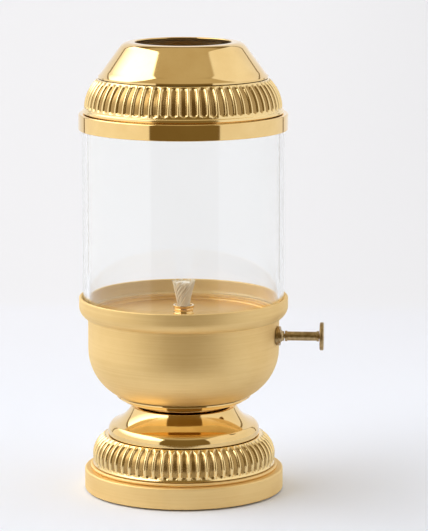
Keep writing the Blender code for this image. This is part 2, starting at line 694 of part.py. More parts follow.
def make_cap_dome(lift):
    waist_z = dome_base + DOME_WAIST
    centre, radius = bulge(dome_waist_r, waist_z, DOME_INSET, dome_top)
    top_angle = math.degrees(math.asin((dome_top - waist_z) / radius))
    outside = arc(centre, radius, DOME_START, top_angle, 5)
    outline = [(0, dome_base), (dome_bead_r, dome_base), (dome_bead_r, dome_base + DOME_BEAD),
               (dome_waist_r, waist_z - DOME_GROOVE)]
    outline += outside + [(0, dome_top)]
    ripple = flutes(outside[0][1] + FLUTE_MARGIN, dome_top - FLUTE_MARGIN)
    dome = turned("cap_dome", outline, "fluted_brass", lift, FLUTED_STEPS, ripple)
    spigot_inner_r = spigot_r - SPIGOT_WALL
    spigot = rod_outline(spigot_r, dome_base - SPIGOT_DEPTH, dome_base + DOME_WALL)
    combine(dome, 'UNION', turned("dome_spigot", spigot, "fluted_brass", lift))
    under_shelf = dome_top - DOME_WALL
    hollow_r = centre[0] + radius - DOME_WALL - FLUTE_DEPTH
    inner_radius = radius - DOME_WALL - FLUTE_DEPTH
    top_r = centre[0] + math.sqrt(inner_radius ** 2 - (under_shelf - waist_z) ** 2)
    middle_z = (waist_z + under_shelf) / 2
    middle_r = centre[0] + math.sqrt(inner_radius ** 2 - (middle_z - waist_z) ** 2)
    hollow_base = dome_base - SPIGOT_DEPTH - OVERSHOOT
    hollow = [(0, hollow_base), (spigot_inner_r, hollow_base),
              (spigot_inner_r, dome_base + DOME_WALL), (hollow_r, waist_z + DOME_WALL),
              (middle_r, middle_z), (top_r, under_shelf), (dome_opening_r, under_shelf),
              (dome_opening_r, dome_top + OVERSHOOT), (0, dome_top + OVERSHOOT)]
    combine(dome, 'DIFFERENCE', turned("dome_hollow", hollow, "fluted_brass", lift))


def make_cap_crown(lift):
    cone_foot = (crown_foot_r - CROWN_COVE_IN, crown_base + CROWN_COVE)
    lean = math.radians(CROWN_LEAN)
    round_z = crown_top - CROWN_ROUND
    cone_rise = round_z + CROWN_ROUND * math.sin(lean) - cone_foot[1]
    cone_top_r = cone_foot[0] - cone_rise * math.tan(lean)
    round_centre = (cone_top_r - CROWN_ROUND * math.cos(lean), round_z)
    outside = arc(round_centre, CROWN_ROUND, CROWN_LEAN, 90, 3)
    inside = arc(round_centre, CROWN_ROUND - CROWN_WALL, 90, CROWN_LEAN, 2)
    spigot_outer_r = dome_opening_r - GAP
    spigot_inner_r = spigot_outer_r - CROWN_WALL
    inner_foot_rise = (spigot_inner_r - inside[-1][0]) / math.tan(lean)
    cove_out, cove_down = CROWN_COVE_STEP
    outline = [(crown_foot_r, crown_base), (crown_foot_r, crown_base + CROWN_FOOT),
               (cone_foot[0] + cove_out, cone_foot[1] - cove_down), cone_foot]
    outline += outside + [(CROWN_OPENING_R, crown_top), (CROWN_OPENING_R, crown_top - CROWN_WALL)] + inside
    outline += [(spigot_inner_r, inside[-1][1] - inner_foot_rise),
                (spigot_inner_r, crown_base - SPIGOT_DEPTH), (spigot_outer_r, crown_base - SPIGOT_DEPTH),
                (spigot_outer_r, crown_base)]
    turned("cap_crown", outline, "polished_brass", lift)


def main():
    start_empty()
    root = axis_empty("lamp_axis", (0, 0, 0))
    winder = axis_empty("winder_axis", (0, spindle_y, spindle_z), root)
    burner = axis_empty("burner_lift", (0, 0, 0), root)
    wick = axis_empty("wick_feed", (0, 0, 0), burner)
    chimney = axis_empty("chimney_lift", (0, 0, 0), root)
    cap = axis_empty("cap_lift", (0, 0, 0), chimney)

    make_baize_pad(root)
    make_plinth(root)
    make_foot_fluted_ring(root)
    make_foot_neck(root)
    make_fixing(root)
    make_bowl_collar(root)
    make_bowl(root)
    make_pan_support(root)
    make_winder_gland(root)
    make_spindle_bracket(root)
    make_winder(winder)
    make_burner(burner)
    make_wick(wick)
    make_glass_chimney(chimney)
    make_cap_band(cap)
    make_cap_dome(cap)
    make_cap_crown(cap)


main()
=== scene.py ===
import json
import math

import bpy
from mathutils import Matrix, Vector


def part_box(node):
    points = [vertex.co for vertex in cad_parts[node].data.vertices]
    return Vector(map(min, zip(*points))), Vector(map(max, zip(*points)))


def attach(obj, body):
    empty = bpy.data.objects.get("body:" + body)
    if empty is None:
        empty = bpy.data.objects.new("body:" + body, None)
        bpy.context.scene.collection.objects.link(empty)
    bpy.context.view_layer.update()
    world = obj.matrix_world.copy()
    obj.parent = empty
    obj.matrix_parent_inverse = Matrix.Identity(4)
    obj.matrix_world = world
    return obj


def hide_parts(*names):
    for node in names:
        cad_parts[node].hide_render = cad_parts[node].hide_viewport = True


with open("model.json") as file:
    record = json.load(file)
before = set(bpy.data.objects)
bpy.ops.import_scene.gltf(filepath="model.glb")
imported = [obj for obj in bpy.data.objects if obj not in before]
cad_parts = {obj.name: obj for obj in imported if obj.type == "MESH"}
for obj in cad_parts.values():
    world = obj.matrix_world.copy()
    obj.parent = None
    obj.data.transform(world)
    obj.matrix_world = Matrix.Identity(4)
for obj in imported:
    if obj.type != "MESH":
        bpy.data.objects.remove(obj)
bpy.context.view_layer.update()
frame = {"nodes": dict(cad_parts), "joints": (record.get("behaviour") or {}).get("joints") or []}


# ---------------------------------------------------------------------------------------------
# The room: a pale table top in a white studio. Tall soft lights stand left and right of the lamp
# and lean in over it, the one on the left being the stronger, and a dark gap is left between
# them where the camera stands.

def add(tree, kind, settings=None, inputs=None):
    """Add a node, set its options and its sockets, and give back its first output."""
    node = tree.nodes.new(kind)
    for name, value in (settings or {}).items():
        setattr(node, name, value)
    for name, value in (inputs or {}).items():
        if isinstance(value, bpy.types.NodeSocket):
            tree.links.new(value, node.inputs[name])
        else:
            node.inputs[name].default_value = value
    return node.outputs[0]


def maths(tree, operation, first, second=0.0, third=0.0):
    return add(tree, "ShaderNodeMath", {"operation": operation}, {0: first, 1: second, 2: third})


def blend_between(tree, share, first, second):
    """A colour that goes from first to second as share goes from 0 to 1."""
    node = tree.nodes.new("ShaderNodeMix")
    node.data_type = "RGBA"
    for index, value in ((0, share), (6, first), (7, second)):
        if isinstance(value, bpy.types.NodeSocket):
            tree.links.new(value, node.inputs[index])
        else:
            node.inputs[index].default_value = value
    return node.outputs[2]


def step_up(tree, value, low, high):
    """0 below low, 1 above high, and a soft edge between them."""
    node = add(tree, "ShaderNodeMapRange", {"interpolation_type": "SMOOTHSTEP"},
               {0: value, 1: low, 2: high})
    return node


def split_up(tree, vector):
    """The X, Y and Z of a vector."""
    split = tree.nodes.new("ShaderNodeSeparateXYZ")
    tree.links.new(vector, split.inputs[0])
    return split.outputs


def light_room():
    camera_gap = (0.21, 0.15, 0.06, 1)
    ceiling_gap = (0.60, 0.52, 0.37, 1)
    left_low, left_high = (1.12, 1.10, 1.06, 1), (3.4, 3.4, 3.4, 1)
    right_low, right_high = (0.97, 0.96, 0.95, 1), (1.05, 1.03, 1.0, 1)
    back_wall = (0.98, 0.98, 1.0, 1)
    seen_wall = (1.0, 1.0, 1.02, 1)
    world = bpy.data.worlds.new("studio")
    bpy.context.scene.world = world
    world.use_nodes = True
    tree = world.node_tree
    tree.nodes.clear()
    direction = tree.nodes.new("ShaderNodeTexCoord").outputs["Generated"]
    turned_view = add(tree, "ShaderNodeVectorRotate", {"rotation_type": "Z_AXIS"},
                      {"Vector": direction, "Angle": math.radians(-5.5)})
    x, y, z = split_up(tree, turned_view)
    aside = maths(tree, "ABSOLUTE", x)
    low_gap = maths(tree, "MULTIPLY", y, -0.79)
    high_gap = maths(tree, "MULTIPLY", z, 0.58)
    gap_width = maths(tree, "MAXIMUM", low_gap, high_gap)
    past_gap = maths(tree, "SUBTRACT", aside, gap_width)
    lit = step_up(tree, past_gap, -0.015, 0.03)
    raised = step_up(tree, z, 0.72, 0.88)
    gap = blend_between(tree, raised, camera_gap, ceiling_gap)
    left = blend_between(tree, step_up(tree, z, 0.35, 0.62), left_low, left_high)
    right = blend_between(tree, step_up(tree, z, 0.35, 0.62), right_low, right_high)
    sides = blend_between(tree, step_up(tree, x, -0.05, 0.05), left, right)
    front = blend_between(tree, lit, gap, sides)
    back_edge = step_up(tree, y, 0.72, 0.76)
    off_seam = maths(tree, "ABSOLUTE", maths(tree, "SUBTRACT", y, 0.765))
    seam = step_up(tree, off_seam, 0.012, 0.022)
    all_round = blend_between(tree, back_edge, front, back_wall)
    all_round = blend_between(tree, seam, camera_gap, all_round)
    path = tree.nodes.new("ShaderNodeLightPath")
    bounces = maths(tree, "ADD", path.outputs["Diffuse Depth"], path.outputs["Glossy Depth"])
    straight = maths(tree, "LESS_THAN", bounces, 0.5)
    through = maths(tree, "MULTIPLY", path.outputs["Is Transmission Ray"], straight)
    seen = maths(tree, "MAXIMUM", path.outputs["Is Camera Ray"], through)
    colour = blend_between(tree, seen, all_round, seen_wall)
    scattered = maths(tree, "ADD", path.outputs["Is Diffuse Ray"], maths(tree, "GREATER_THAN", bounces, 1.5))
    strength = maths(tree, "MULTIPLY_ADD", maths(tree, "MINIMUM", scattered, 1.0), 0.14, 1.0)
    background = tree.nodes.new("ShaderNodeBackground")
    tree.links.new(colour, background.inputs["Color"])
    tree.links.new(strength, background.inputs["Strength"])
    output = tree.nodes.new("ShaderNodeOutputWorld")
    tree.links.new(background.outputs[0], output.inputs[0])


def plain_material(name, colour, roughness):
    material = bpy.data.materials.new(name)
    material.use_nodes = True
    shader = material.node_tree.nodes["Principled BSDF"]
    shader.inputs["Base Color"].default_value = colour
    shader.inputs["Roughness"].default_value = roughness
    return material


def make_table():
    """Matt white paper. Its colour is painted cooler near the lamp, to offset the warm light that the brass
    throws on it, and painted a little darker to the right at the back, as painted shade where the left light
    falls off."""
    material = plain_material("table_white", (0.8, 0.83, 0.92, 1), 0.6)
    tree = material.node_tree
    place = tree.nodes.new("ShaderNodeTexCoord").outputs["Object"]
    x, y, z = split_up(tree, place)
    far = step_up(tree, y, 0.0, 0.6)
    # Painted shade: the far table is painted darker towards the right, where the left-hand light falls off.
    right_back_painted_shade = step_up(tree, x, -0.1, 0.25)
    far_colour_painted_shade = blend_between(tree, right_back_painted_shade, (0.81, 0.84, 0.93, 1), (0.75, 0.78, 0.865, 1))
    # Painted light: near the lamp the table is painted bluer, to cancel the warm light that the brass throws
    # on it.
    colour = blend_between(tree, far, (0.82, 0.87, 0.985, 1), far_colour_painted_shade)
    tree.links.new(colour, tree.nodes["Principled BSDF"].inputs["Base Color"])
    return material


def lay_floor(name, front, side, back):
    mesh = bpy.data.meshes.new(name)
    corners = [(-side, -front, 0), (side, -front, 0), (side, back, 0), (-side, back, 0)]
    mesh.from_pydata(corners, [], [(0, 1, 2, 3)])
    floor = bpy.data.objects.new(name, mesh)
    bpy.context.scene.collection.objects.link(floor)
    return floor


table_white = make_table()
seen_floor = lay_floor("table_top", 9, 9, 9)
seen_floor.data.materials.append(table_white)
seen_floor.visible_glossy = False
seen_floor.location.z = -0.0002
mirrored_floor = lay_floor("table_near_lamp", 0.16, 0.5, 0.5)
mirrored_floor.data.materials.append(table_white)
mirrored_floor.visible_camera = False
mirrored_floor.visible_diffuse = False
mirrored_floor.visible_transmission = False
mirrored_floor.visible_shadow = False
light_room()

camera_data = bpy.data.cameras.new("camera")
camera_data.lens = 193.5
camera_data.sensor_width = 36
camera = bpy.data.objects.new("camera", camera_data)
bpy.context.scene.collection.objects.link(camera)
camera_round = math.radians(4)
camera_away, camera_up = 1.4, 0.35
camera_down, camera_aside = math.radians(9.608), math.radians(0.62)
camera.location = (camera_away * math.sin(camera_round), -camera_away * math.cos(camera_round), camera_up)
camera.rotation_euler = (math.pi / 2 - camera_down, 0, camera_round - camera_aside)
bpy.context.scene.camera = camera
bpy.context.scene.view_settings.view_transform = "Standard"


# ---------------------------------------------------------------------------------------------
# Baize pad: a disc of green felted wool on card, pressed into the rebate under the plinth so that
# the brass never touches the table. It stands a little proud of the brass.

MM = 0.001
TURN_STEPS = 240


def measure(node):
    """Outer radius, base and top of a round CAD node, in millimetres."""
    low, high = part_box(node)
    return high.x / MM, low.z / MM, high.z / MM


def arc(centre, radius, start, end, pieces):
    points = []
    for index in range(pieces + 1):
        angle = math.radians(start + (end - start) * index / pieces)
        points.append((centre[0] + radius * math.cos(angle), centre[1] + radius * math.sin(angle)))
    return points


def arc_between(first, last, radius, pieces):
    """Arc from first to last that bows to the right of the way, or to the left if radius is negative."""
    run, rise = last[0] - first[0], last[1] - first[1]
    chord = math.hypot(run, rise)
    size = max(abs(radius), 0.505 * chord)
    reach = math.sqrt(size ** 2 - (chord / 2) ** 2)
    side = 1 if radius > 0 else -1
    centre = (first[0] + run / 2 - side * reach * rise / chord,
              first[1] + rise / 2 + side * reach * run / chord)
    start = math.degrees(math.atan2(first[1] - centre[1], first[0] - centre[0]))
    end = math.degrees(math.atan2(last[1] - centre[1], last[0] - centre[0]))
    turn = (end - start + 180) % 360 - 180
    return arc(centre, size, start, start + turn, pieces)


def eased(outline, pieces):
    """Round every corner that gives a third number, its radius, and hold the sides beside it flat."""
    points = []
    for index, corner in enumerate(outline):
        if len(corner) == 2:
            points.append(corner)
            continue
        here = Vector(corner[:2])
        before = Vector(outline[index - 1][:2]) - here
        after = Vector(outline[(index + 1) % len(outline)][:2]) - here
        half = before.angle(after) / 2
        back = min(corner[2] / math.tan(half), 0.4 * before.length, 0.4 * after.length)
        radius = back * math.tan(half)
        middle = here + (before.normalized() + after.normalized()).normalized() * radius / math.sin(half)
        start, end = here + before.normalized() * back - middle, here + after.normalized() * back - middle
        turn = -start.angle_signed(end)
        points.append(tuple(here + before.normalized() * (back + min(0.25, 0.08 * before.length))))
        for step in range(pieces + 1):
            angle = math.atan2(start.y, start.x) + turn * step / pieces
            points.append((middle.x + radius * math.cos(angle), middle.y + radius * math.sin(angle)))
        points.append(tuple(here + after.normalized() * (back + min(0.25, 0.08 * after.length))))
    return points


def spun_mesh(name, outline, steps=TURN_STEPS, corner_pieces=6, places=(0,)):
    """Turn an outline once round +Z into a closed mesh. Its (radius, height) points, in millimetres,
    run anticlockwise when radius points right and height points up, so that its faces point out.
    The turn has one step for each entry of places, a share of a step, in every one of its steps."""
    points = eased(outline, corner_pieces)
    turns = [2 * math.pi * (step + place) / steps for step in range(steps) for place in places]
    steps = len(turns)
    vertices, rings, faces = [], [], []
    for radius, height in points:
        first = len(vertices)
        count = steps if radius > 0 else 1
        rings.append([first + step % count for step in range(steps)])
        vertices += [(radius * MM * math.cos(turn), radius * MM * math.sin(turn), height * MM)
                     for turn in turns[:count]]
    pairs = list(zip(rings, rings[1:]))
    if points[0][0] > 0:
        pairs.append((rings[-1], rings[0]))
    for low, high in pairs:
        for step in range(steps):
            after = (step + 1) % steps
            corners = (low[step], low[after], high[after], high[step])
            faces.append(tuple(dict.fromkeys(corners)))
    mesh = bpy.data.meshes.new(name)
    mesh.from_pydata(vertices, [], faces)
    mesh.shade_smooth()
    mesh.set_sharp_from_angle(angle=math.radians(28))
    return mesh


def fit(name, mesh, material, body, node):
    """Put a finished mesh on the lamp in place of its CAD node."""
    piece = bpy.data.objects.new(name, mesh)
    bpy.context.scene.collection.objects.link(piece)
    if material:
        mesh.materials.clear()
        mesh.materials.append(material)
    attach(piece, body)
    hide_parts(node)
    return piece


def start_material(name):
    """A new material's node tree with its shader and its object coordinates."""
    material = bpy.data.materials.new(name)
    material.use_nodes = True
    tree = material.node_tree
    shader = tree.nodes["Principled BSDF"]
    place = tree.nodes.new("ShaderNodeTexCoord").outputs["Object"]
    return material, tree, shader, place


def noise(tree, place, scale, detail=4.0, roughness=0.55):
    return add(tree, "ShaderNodeTexNoise", None,
               {"Vector": place, "Scale": scale, "Detail": detail, "Roughness": roughness})


def bump(tree, shader, height, depth_mm, strength=1.0):
    normal = add(tree, "ShaderNodeBump", None,
                 {"Height": height, "Distance": depth_mm * MM, "Strength": strength})
    tree.links.new(normal, shader.inputs["Normal"])


def make_baize():
    material, tree, shader, place = start_material("green_baize")
    fibres = noise(tree, place, 1600, 6)
    clumps = noise(tree, place, 240, 3)
    shade = step_up(tree, maths(tree, "ADD", fibres, maths(tree, "MULTIPLY", clumps, 0.4)), 0.45, 0.95)
    colour = blend_between(tree, shade, (0.012, 0.05, 0.028, 1), (0.05, 0.15, 0.085, 1))
    tree.links.new(colour, shader.inputs["Base Color"])
    shader.inputs["Roughness"].default_value = 0.95
    shader.inputs["Sheen Weight"].default_value = 0.4
    bump(tree, shader, fibres, 0.3)
    return material


baize_r, baize_base, baize_top = measure("baize_pad")
baize_outline = [(0, baize_base), (baize_r, baize_base, 0.3), (baize_r, baize_top, 0.3), (0, baize_top)]
fit("baize_disc", spun_mesh("baize_disc", baize_outline), make_baize(), "lamp_body", "baize_pad")


# ---------------------------------------------------------------------------------------------
# Plinth: a heavy turned brass ring, brushed round its side on the lathe. A bead stands on its
# top and hides the seam with the fluted ring that is soldered on it.

def round_place(tree, place, along=0.02, across=1.0):
    """Coordinates that run slowly round the lamp's axis and fast across its lathe marks."""
    x, y, z = split_up(tree, place)
    radius = maths(tree, "SQRT", maths(tree, "ADD", maths(tree, "MULTIPLY", x, x),
                                       maths(tree, "MULTIPLY", y, y)))
    return add(tree, "ShaderNodeCombineXYZ", None,
               {0: maths(tree, "MULTIPLY", radius, across), 1: maths(tree, "MULTIPLY", z, across),
                2: maths(tree, "MULTIPLY", maths(tree, "ADD", x, y), along)})


def make_satin_brass(name, light, deep, roughness, brushing_mm):
    """Brass brushed round the lamp's axis: fine lathe lines, faint tarnish clouds, wiped highlights."""
    material, tree, shader, place = start_material(name)
    lathe = round_place(tree, place)
    lines = noise(tree, lathe, 5200, 3, 0.7)
    bands = noise(tree, lathe, 900, 2)
    clouds = noise(tree, place, 34, 4)
    wear = maths(tree, "ADD", maths(tree, "MULTIPLY", lines, 0.5), maths(tree, "MULTIPLY", bands, 0.5))
    shade = step_up(tree, maths(tree, "ADD", wear, maths(tree, "MULTIPLY", clouds, 0.6)), 0.45, 1.05)
    tree.links.new(blend_between(tree, shade, deep, light), shader.inputs["Base Color"])
    spread = maths(tree, "MULTIPLY_ADD", wear, 0.16, roughness - 0.08)
    tree.links.new(spread, shader.inputs["Roughness"])
    shader.inputs["Metallic"].default_value = 1.0
    shader.inputs["Anisotropic"].default_value = 0.3
    tangent = add(tree, "ShaderNodeTangent", {"direction_type": "RADIAL", "axis": "Z"})
    tree.links.new(tangent, shader.inputs["Tangent"])
    bump(tree, shader, maths(tree, "ADD", lines, bands), brushing_mm)
    return material


satin_brass = make_satin_brass("satin_brass", (0.93, 0.71, 0.35, 1), (0.84, 0.60, 0.26, 1), 0.58, 0.004)

plinth_r, plinth_base, plinth_top = measure("plinth")
foot_ring_r, foot_ring_base, foot_ring_top = measure("foot_fluted_ring")
plinth_bead = 0.85
plinth_deck = plinth_top - 2 * plinth_bead
rebate_r = baize_r + 0.3
plinth_hollow_r = foot_ring_r - 3.2
plinth_outline = [(rebate_r, plinth_base, 0.2), (plinth_r, plinth_base, 0.5), (plinth_r, plinth_deck, 1.0)]
plinth_outline += arc((foot_ring_r + 0.2, plinth_top - plinth_bead), plinth_bead, -90, 90, 10)
plinth_outline += [(plinth_hollow_r, plinth_top), (rebate_r - 2.2, plinth_deck - 2),
                   (rebate_r - 2.2, baize_top + 0.3), (rebate_r, baize_top + 0.3)]
fit("plinth_turning", spun_mesh("plinth_turning", plinth_outline), satin_brass, "lamp_body", "plinth")


# ---------------------------------------------------------------------------------------------
# Fluted ring of the foot: pressed brass sheet with a row of round-ended hollow flutes all round
# its shoulder, buffed after pressing so that the lands shine and the hollows keep some tarnish.

FLUTE_COUNT = 63
RIB_ROUNDNESS = 0.4
FLUTE_PLACES = (0, 0.13, 0.26, 0.30, 0.34, 0.42, 0.5, 0.58, 0.66, 0.70, 0.74, 0.87)


def new_growth(name, sizes):
    """An empty Geometry Nodes tree with a mesh input, named size inputs and a material input."""
    tree = bpy.data.node_groups.new(name, "GeometryNodeTree")
    face = tree.interface
    face.new_socket("Geometry", in_out="INPUT", socket_type="NodeSocketGeometry")
    for size, kind in sizes.items():
        face.new_socket(size, in_out="INPUT", socket_type=kind)
    face.new_socket("Finish", in_out="INPUT", socket_type="NodeSocketMaterial")
    face.new_socket("Geometry", in_out="OUTPUT", socket_type="NodeSocketGeometry")
    given = tree.nodes.new("NodeGroupInput").outputs
    return tree, given


def end_growth(tree, given, geometry):
    geometry = add(tree, "GeometryNodeRealizeInstances", None, {0: geometry})
    finished = {"Geometry": geometry, "Material": given["Finish"]}
    geometry = add(tree, "GeometryNodeSetMaterial", None, finished)
    output = tree.nodes.new("NodeGroupOutput")
    tree.links.new(geometry, output.inputs["Geometry"])


def grow(name, tree, mesh, material, sizes):
    """Run a Geometry Nodes tree on a mesh and give back the plain mesh that it makes."""
    seed = bpy.data.objects.new(name + "_seed", mesh)
    bpy.context.scene.collection.objects.link(seed)
    modifier = seed.modifiers.new("growth", "NODES")
    modifier.node_group = tree
    values = dict(sizes, Finish=material)
    for item in tree.interface.items_tree:
        if item.in_out == "INPUT" and item.name in values:
            modifier[item.identifier] = values[item.name]
    depsgraph = bpy.context.evaluated_depsgraph_get()
    grown = bpy.data.meshes.new_from_object(seed.evaluated_get(depsgraph), depsgraph=depsgraph)
    grown.name = name
    bpy.data.objects.remove(seed, do_unlink=True)
    return grown


def dot_product(tree, first, second):
    node = tree.nodes.new("ShaderNodeVectorMath")
    node.operation = "DOT_PRODUCT"
    tree.links.new(first, node.inputs[0])
    tree.links.new(second, node.inputs[1])
    return node.outputs["Value"]


def make_flute_tree():
    """Sink round-ended hollows into the outward side of a turned shell, between two heights."""
    tree, given = new_growth("sink_flutes", {
        "Count": "NodeSocketInt", "Depth": "NodeSocketFloat", "Low": "NodeSocketFloat",
        "High": "NodeSocketFloat", "Share": "NodeSocketFloat", "Wall": "NodeSocketFloat",
        "End": "NodeSocketFloat"})
    x, y, z = split_up(tree, add(tree, "GeometryNodeInputPosition"))
    turn = maths(tree, "DIVIDE", maths(tree, "ARCTAN2", y, x), 2 * math.pi)
    pitch = maths(tree, "FRACT", maths(tree, "ADD", maths(tree, "MULTIPLY", turn, given["Count"]), 100.5))
    off_middle = maths(tree, "MULTIPLY", maths(tree, "ABSOLUTE", maths(tree, "SUBTRACT", pitch, 0.5)), 2.0)
    height = maths(tree, "DIVIDE", maths(tree, "SUBTRACT", z, given["Low"]),
                   maths(tree, "SUBTRACT", given["High"], given["Low"]))
    from_waist = maths(tree, "MULTIPLY", maths(tree, "ABSOLUTE", maths(tree, "SUBTRACT", height, 0.5)), 2.0)
    into_end = maths(tree, "DIVIDE", maths(tree, "ADD", maths(tree, "SUBTRACT", from_waist, 1.0),
                                           given["End"]), given["End"])
    into_end = maths(tree, "MINIMUM", maths(tree, "MAXIMUM", into_end, 0.0), 1.0)
    rounding = maths(tree, "SQRT", maths(tree, "SUBTRACT", 1.0, maths(tree, "MULTIPLY", into_end, into_end)))
    half_width = maths(tree, "MULTIPLY", rounding, given["Share"])
    inside_wall = maths(tree, "DIVIDE", maths(tree, "SUBTRACT", half_width, off_middle), given["Wall"])
    floor = maths(tree, "MINIMUM", maths(tree, "MAXIMUM", inside_wall, 0.0), 1.0)
    off_rib = maths(tree, "DIVIDE", maths(tree, "SUBTRACT", 1.0, off_middle),
                    maths(tree, "SUBTRACT", 1.0, given["Share"]))
    off_rib = maths(tree, "MINIMUM", off_rib, 1.0)
    rib_side = maths(tree, "MULTIPLY", maths(tree, "MULTIPLY", off_rib, off_rib), rounding)
    hollow = maths(tree, "ADD", maths(tree, "MULTIPLY", floor, 1 - RIB_ROUNDNESS),
                   maths(tree, "MULTIPLY", rib_side, RIB_ROUNDNESS))
    normal = add(tree, "GeometryNodeInputNormal")
    flat_place = add(tree, "ShaderNodeCombineXYZ", None, {0: x, 1: y})
    outward = maths(tree, "GREATER_THAN", dot_product(tree, normal, flat_place), 0.0)
    hollow = maths(tree, "MULTIPLY", hollow, outward)
    sink = maths(tree, "MULTIPLY", maths(tree, "MULTIPLY", hollow, given["Depth"]), -1.0)
    offset = add(tree, "ShaderNodeVectorMath", {"operation": "SCALE"}, {0: normal, "Scale": sink})
    grimy = maths(tree, "MULTIPLY", floor, outward)
    stored = add(tree, "GeometryNodeStoreNamedAttribute", {"data_type": "FLOAT", "domain": "POINT"},
                 {"Geometry": given["Geometry"], "Name": "hollow", "Value": grimy})
    moved = add(tree, "GeometryNodeSetPosition", None, {"Geometry": stored, "Offset": offset})
    end_growth(tree, given, moved)
    return tree


def stored_number(tree, name):
    """A number that a Geometry Nodes tree stored on the mesh, for a material to read."""
    attribute = tree.nodes.new("ShaderNodeAttribute")
    attribute.attribute_name = name
    return attribute.outputs["Fac"]


def make_fluted_brass():
    """Buffed brass whose hollows are browner and duller than its lands."""
    material, tree, shader, place = start_material("fluted_brass")
    hollow = stored_number(tree, "hollow")
    clouds = noise(tree, place, 60, 4)
    scuffs = noise(tree, place, 900, 3)
    grime = maths(tree, "MULTIPLY", hollow, maths(tree, "MULTIPLY_ADD", clouds, 0.4, 0.7))
    light, deep = (0.90, 0.68, 0.33, 1), (0.36, 0.22, 0.07, 1)
    tree.links.new(blend_between(tree, grime, light, deep), shader.inputs["Base Color"])
    spread = maths(tree, "MULTIPLY_ADD", grime, 0.14, maths(tree, "MULTIPLY_ADD", scuffs, 0.10, 0.10))
    tree.links.new(spread, shader.inputs["Roughness"])
    shader.inputs["Metallic"].default_value = 1.0
    bump(tree, shader, scuffs, 0.004)
    return material


def bulge(widest, waist_z, inset, top_z):
    """Centre and radius of the arc that leaves waist_z upright and has come in by inset at top_z."""
    rise = top_z - waist_z
    radius = (inset ** 2 + rise ** 2) / (2 * inset)
    return (widest - radius, waist_z), radius


flute_tree = make_flute_tree()
fluted_brass = make_fluted_brass()
sheet = 2.0
foot_waist_z = foot_ring_base + 4.6
foot_centre, foot_bulge_r = bulge(foot_ring_r, foot_waist_z, 6.6, foot_ring_top)
foot_low_angle = math.degrees(math.asin((foot_ring_base + 1.0 - foot_waist_z) / foot_bulge_r))
foot_high_angle = math.degrees(math.asin((foot_ring_top - foot_waist_z) / foot_bulge_r))
neck_r, neck_base, neck_top = measure("foot_neck")
shelf_hole_r = neck_r - 4.4
inner_bulge = arc(foot_centre, foot_bulge_r - sheet, foot_high_angle - 8, 0, 8)
foot_ring_outline = [(plinth_hollow_r, foot_ring_base), (foot_ring_r, foot_ring_base, 0.3)]
foot_ring_outline += arc(foot_centre, foot_bulge_r, foot_low_angle, foot_high_angle - 3, 44)
foot_ring_outline += [(foot_ring_r - 6.7, foot_ring_top, 0.3), (shelf_hole_r, foot_ring_top, 0.3),
                      (shelf_hole_r, foot_ring_top - sheet)]
foot_ring_outline += inner_bulge + [(plinth_hollow_r, foot_waist_z - 2)]
foot_flutes = {"Count": FLUTE_COUNT, "Depth": 0.95 * MM, "Low": (foot_ring_base + 1.2) * MM,
               "High": (foot_ring_top - 0.2) * MM, "Share": 0.68, "Wall": 0.16, "End": 0.22}
foot_ring_mesh = spun_mesh("foot_flutes", foot_ring_outline, FLUTE_COUNT, 3, FLUTE_PLACES)
foot_ring_mesh = grow("foot_flutes", flute_tree, foot_ring_mesh, fluted_brass, foot_flutes)
fit("foot_flutes", foot_ring_mesh, None, "lamp_body", "foot_fluted_ring")


# ---------------------------------------------------------------------------------------------
# Neck of the foot: an ogee spun from sheet brass and mirror polished. It stands on the fluted
# ring's shelf, and the stud under the bowl pulls down on the flat web across its top.

def make_polished_brass():
    """Mirror-polished brass with the faintest haze, wipe marks and lathe lines."""
    material, tree, shader, place = start_material("polished_brass")
    lathe = round_place(tree, place)
    lines = noise(tree, lathe, 2600, 2)
    haze = noise(tree, place, 45, 5)
    shade = step_up(tree, haze, 0.35, 0.75)
    tree.links.new(blend_between(tree, shade, (0.80, 0.56, 0.24, 1), (0.87, 0.64, 0.30, 1)),
                   shader.inputs["Base Color"])
    spread = maths(tree, "MULTIPLY_ADD", haze, 0.07, 0.035)
    tree.links.new(spread, shader.inputs["Roughness"])
    shader.inputs["Metallic"].default_value = 1.0
    bump(tree, shader, lines, 0.0006)
    return material


polished_brass = make_polished_brass()
neck_roll, neck_shoulder, neck_flare, neck_cove = 1.6, 5.0, 11.7, 15.6
neck_wall, neck_web = 2.4, 2.0
neck_top_r = neck_r - neck_flare
stud_hole_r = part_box("fixing_stud")[1].x / MM + 0.3
shoulder = arc((neck_r - neck_shoulder, neck_base + neck_roll), neck_shoulder, 0, 52, 20)
cove = arc_between(shoulder[-1], (neck_top_r, neck_top), -neck_cove, 24)
neck_outline = [(neck_r, neck_base, 0.2)]
neck_outline += shoulder + cove[1:-1] + [(neck_top_r, neck_top, 0.9), (stud_hole_r, neck_top)]
neck_outline += [(stud_hole_r, neck_top - neck_web), (neck_top_r - neck_wall, neck_top - neck_web, 1.0),
                 (neck_top_r - neck_wall + 1, cove[12][1] - neck_wall, 3.0),
                 (neck_r - neck_roll - neck_wall, neck_base + neck_roll, 1.0),
                 (neck_r - neck_roll - neck_wall, neck_base)]
fit("neck_spinning", spun_mesh("neck_spinning", neck_outline), polished_brass, "lamp_body", "foot_neck")


# ---------------------------------------------------------------------------------------------
# Stud, washer and nut: plain zinc-plated steel. The stud is soldered under the bowl, and the nut
# inside the foot draws bowl, collar and neck together.

def make_plain_steel():
    material, tree, shader, place = start_material("zinc_plate")
    clouds = noise(tree, place, 420, 5)
    tree.links.new(blend_between(tree, clouds, (0.38, 0.38, 0.39, 1), (0.62, 0.62, 0.63, 1)),
                   shader.inputs["Base Color"])
    tree.links.new(maths(tree, "MULTIPLY_ADD", clouds, 0.2, 0.25), shader.inputs["Roughness"])
    shader.inputs["Metallic"].default_value = 1.0
    bump(tree, shader, clouds, 0.01)
    return material


def refinish(node, material):
    """Give a CAD node that stays a better material."""
    piece = frame["nodes"][node]
    piece.data.materials.clear()
    piece.data.materials.append(material)


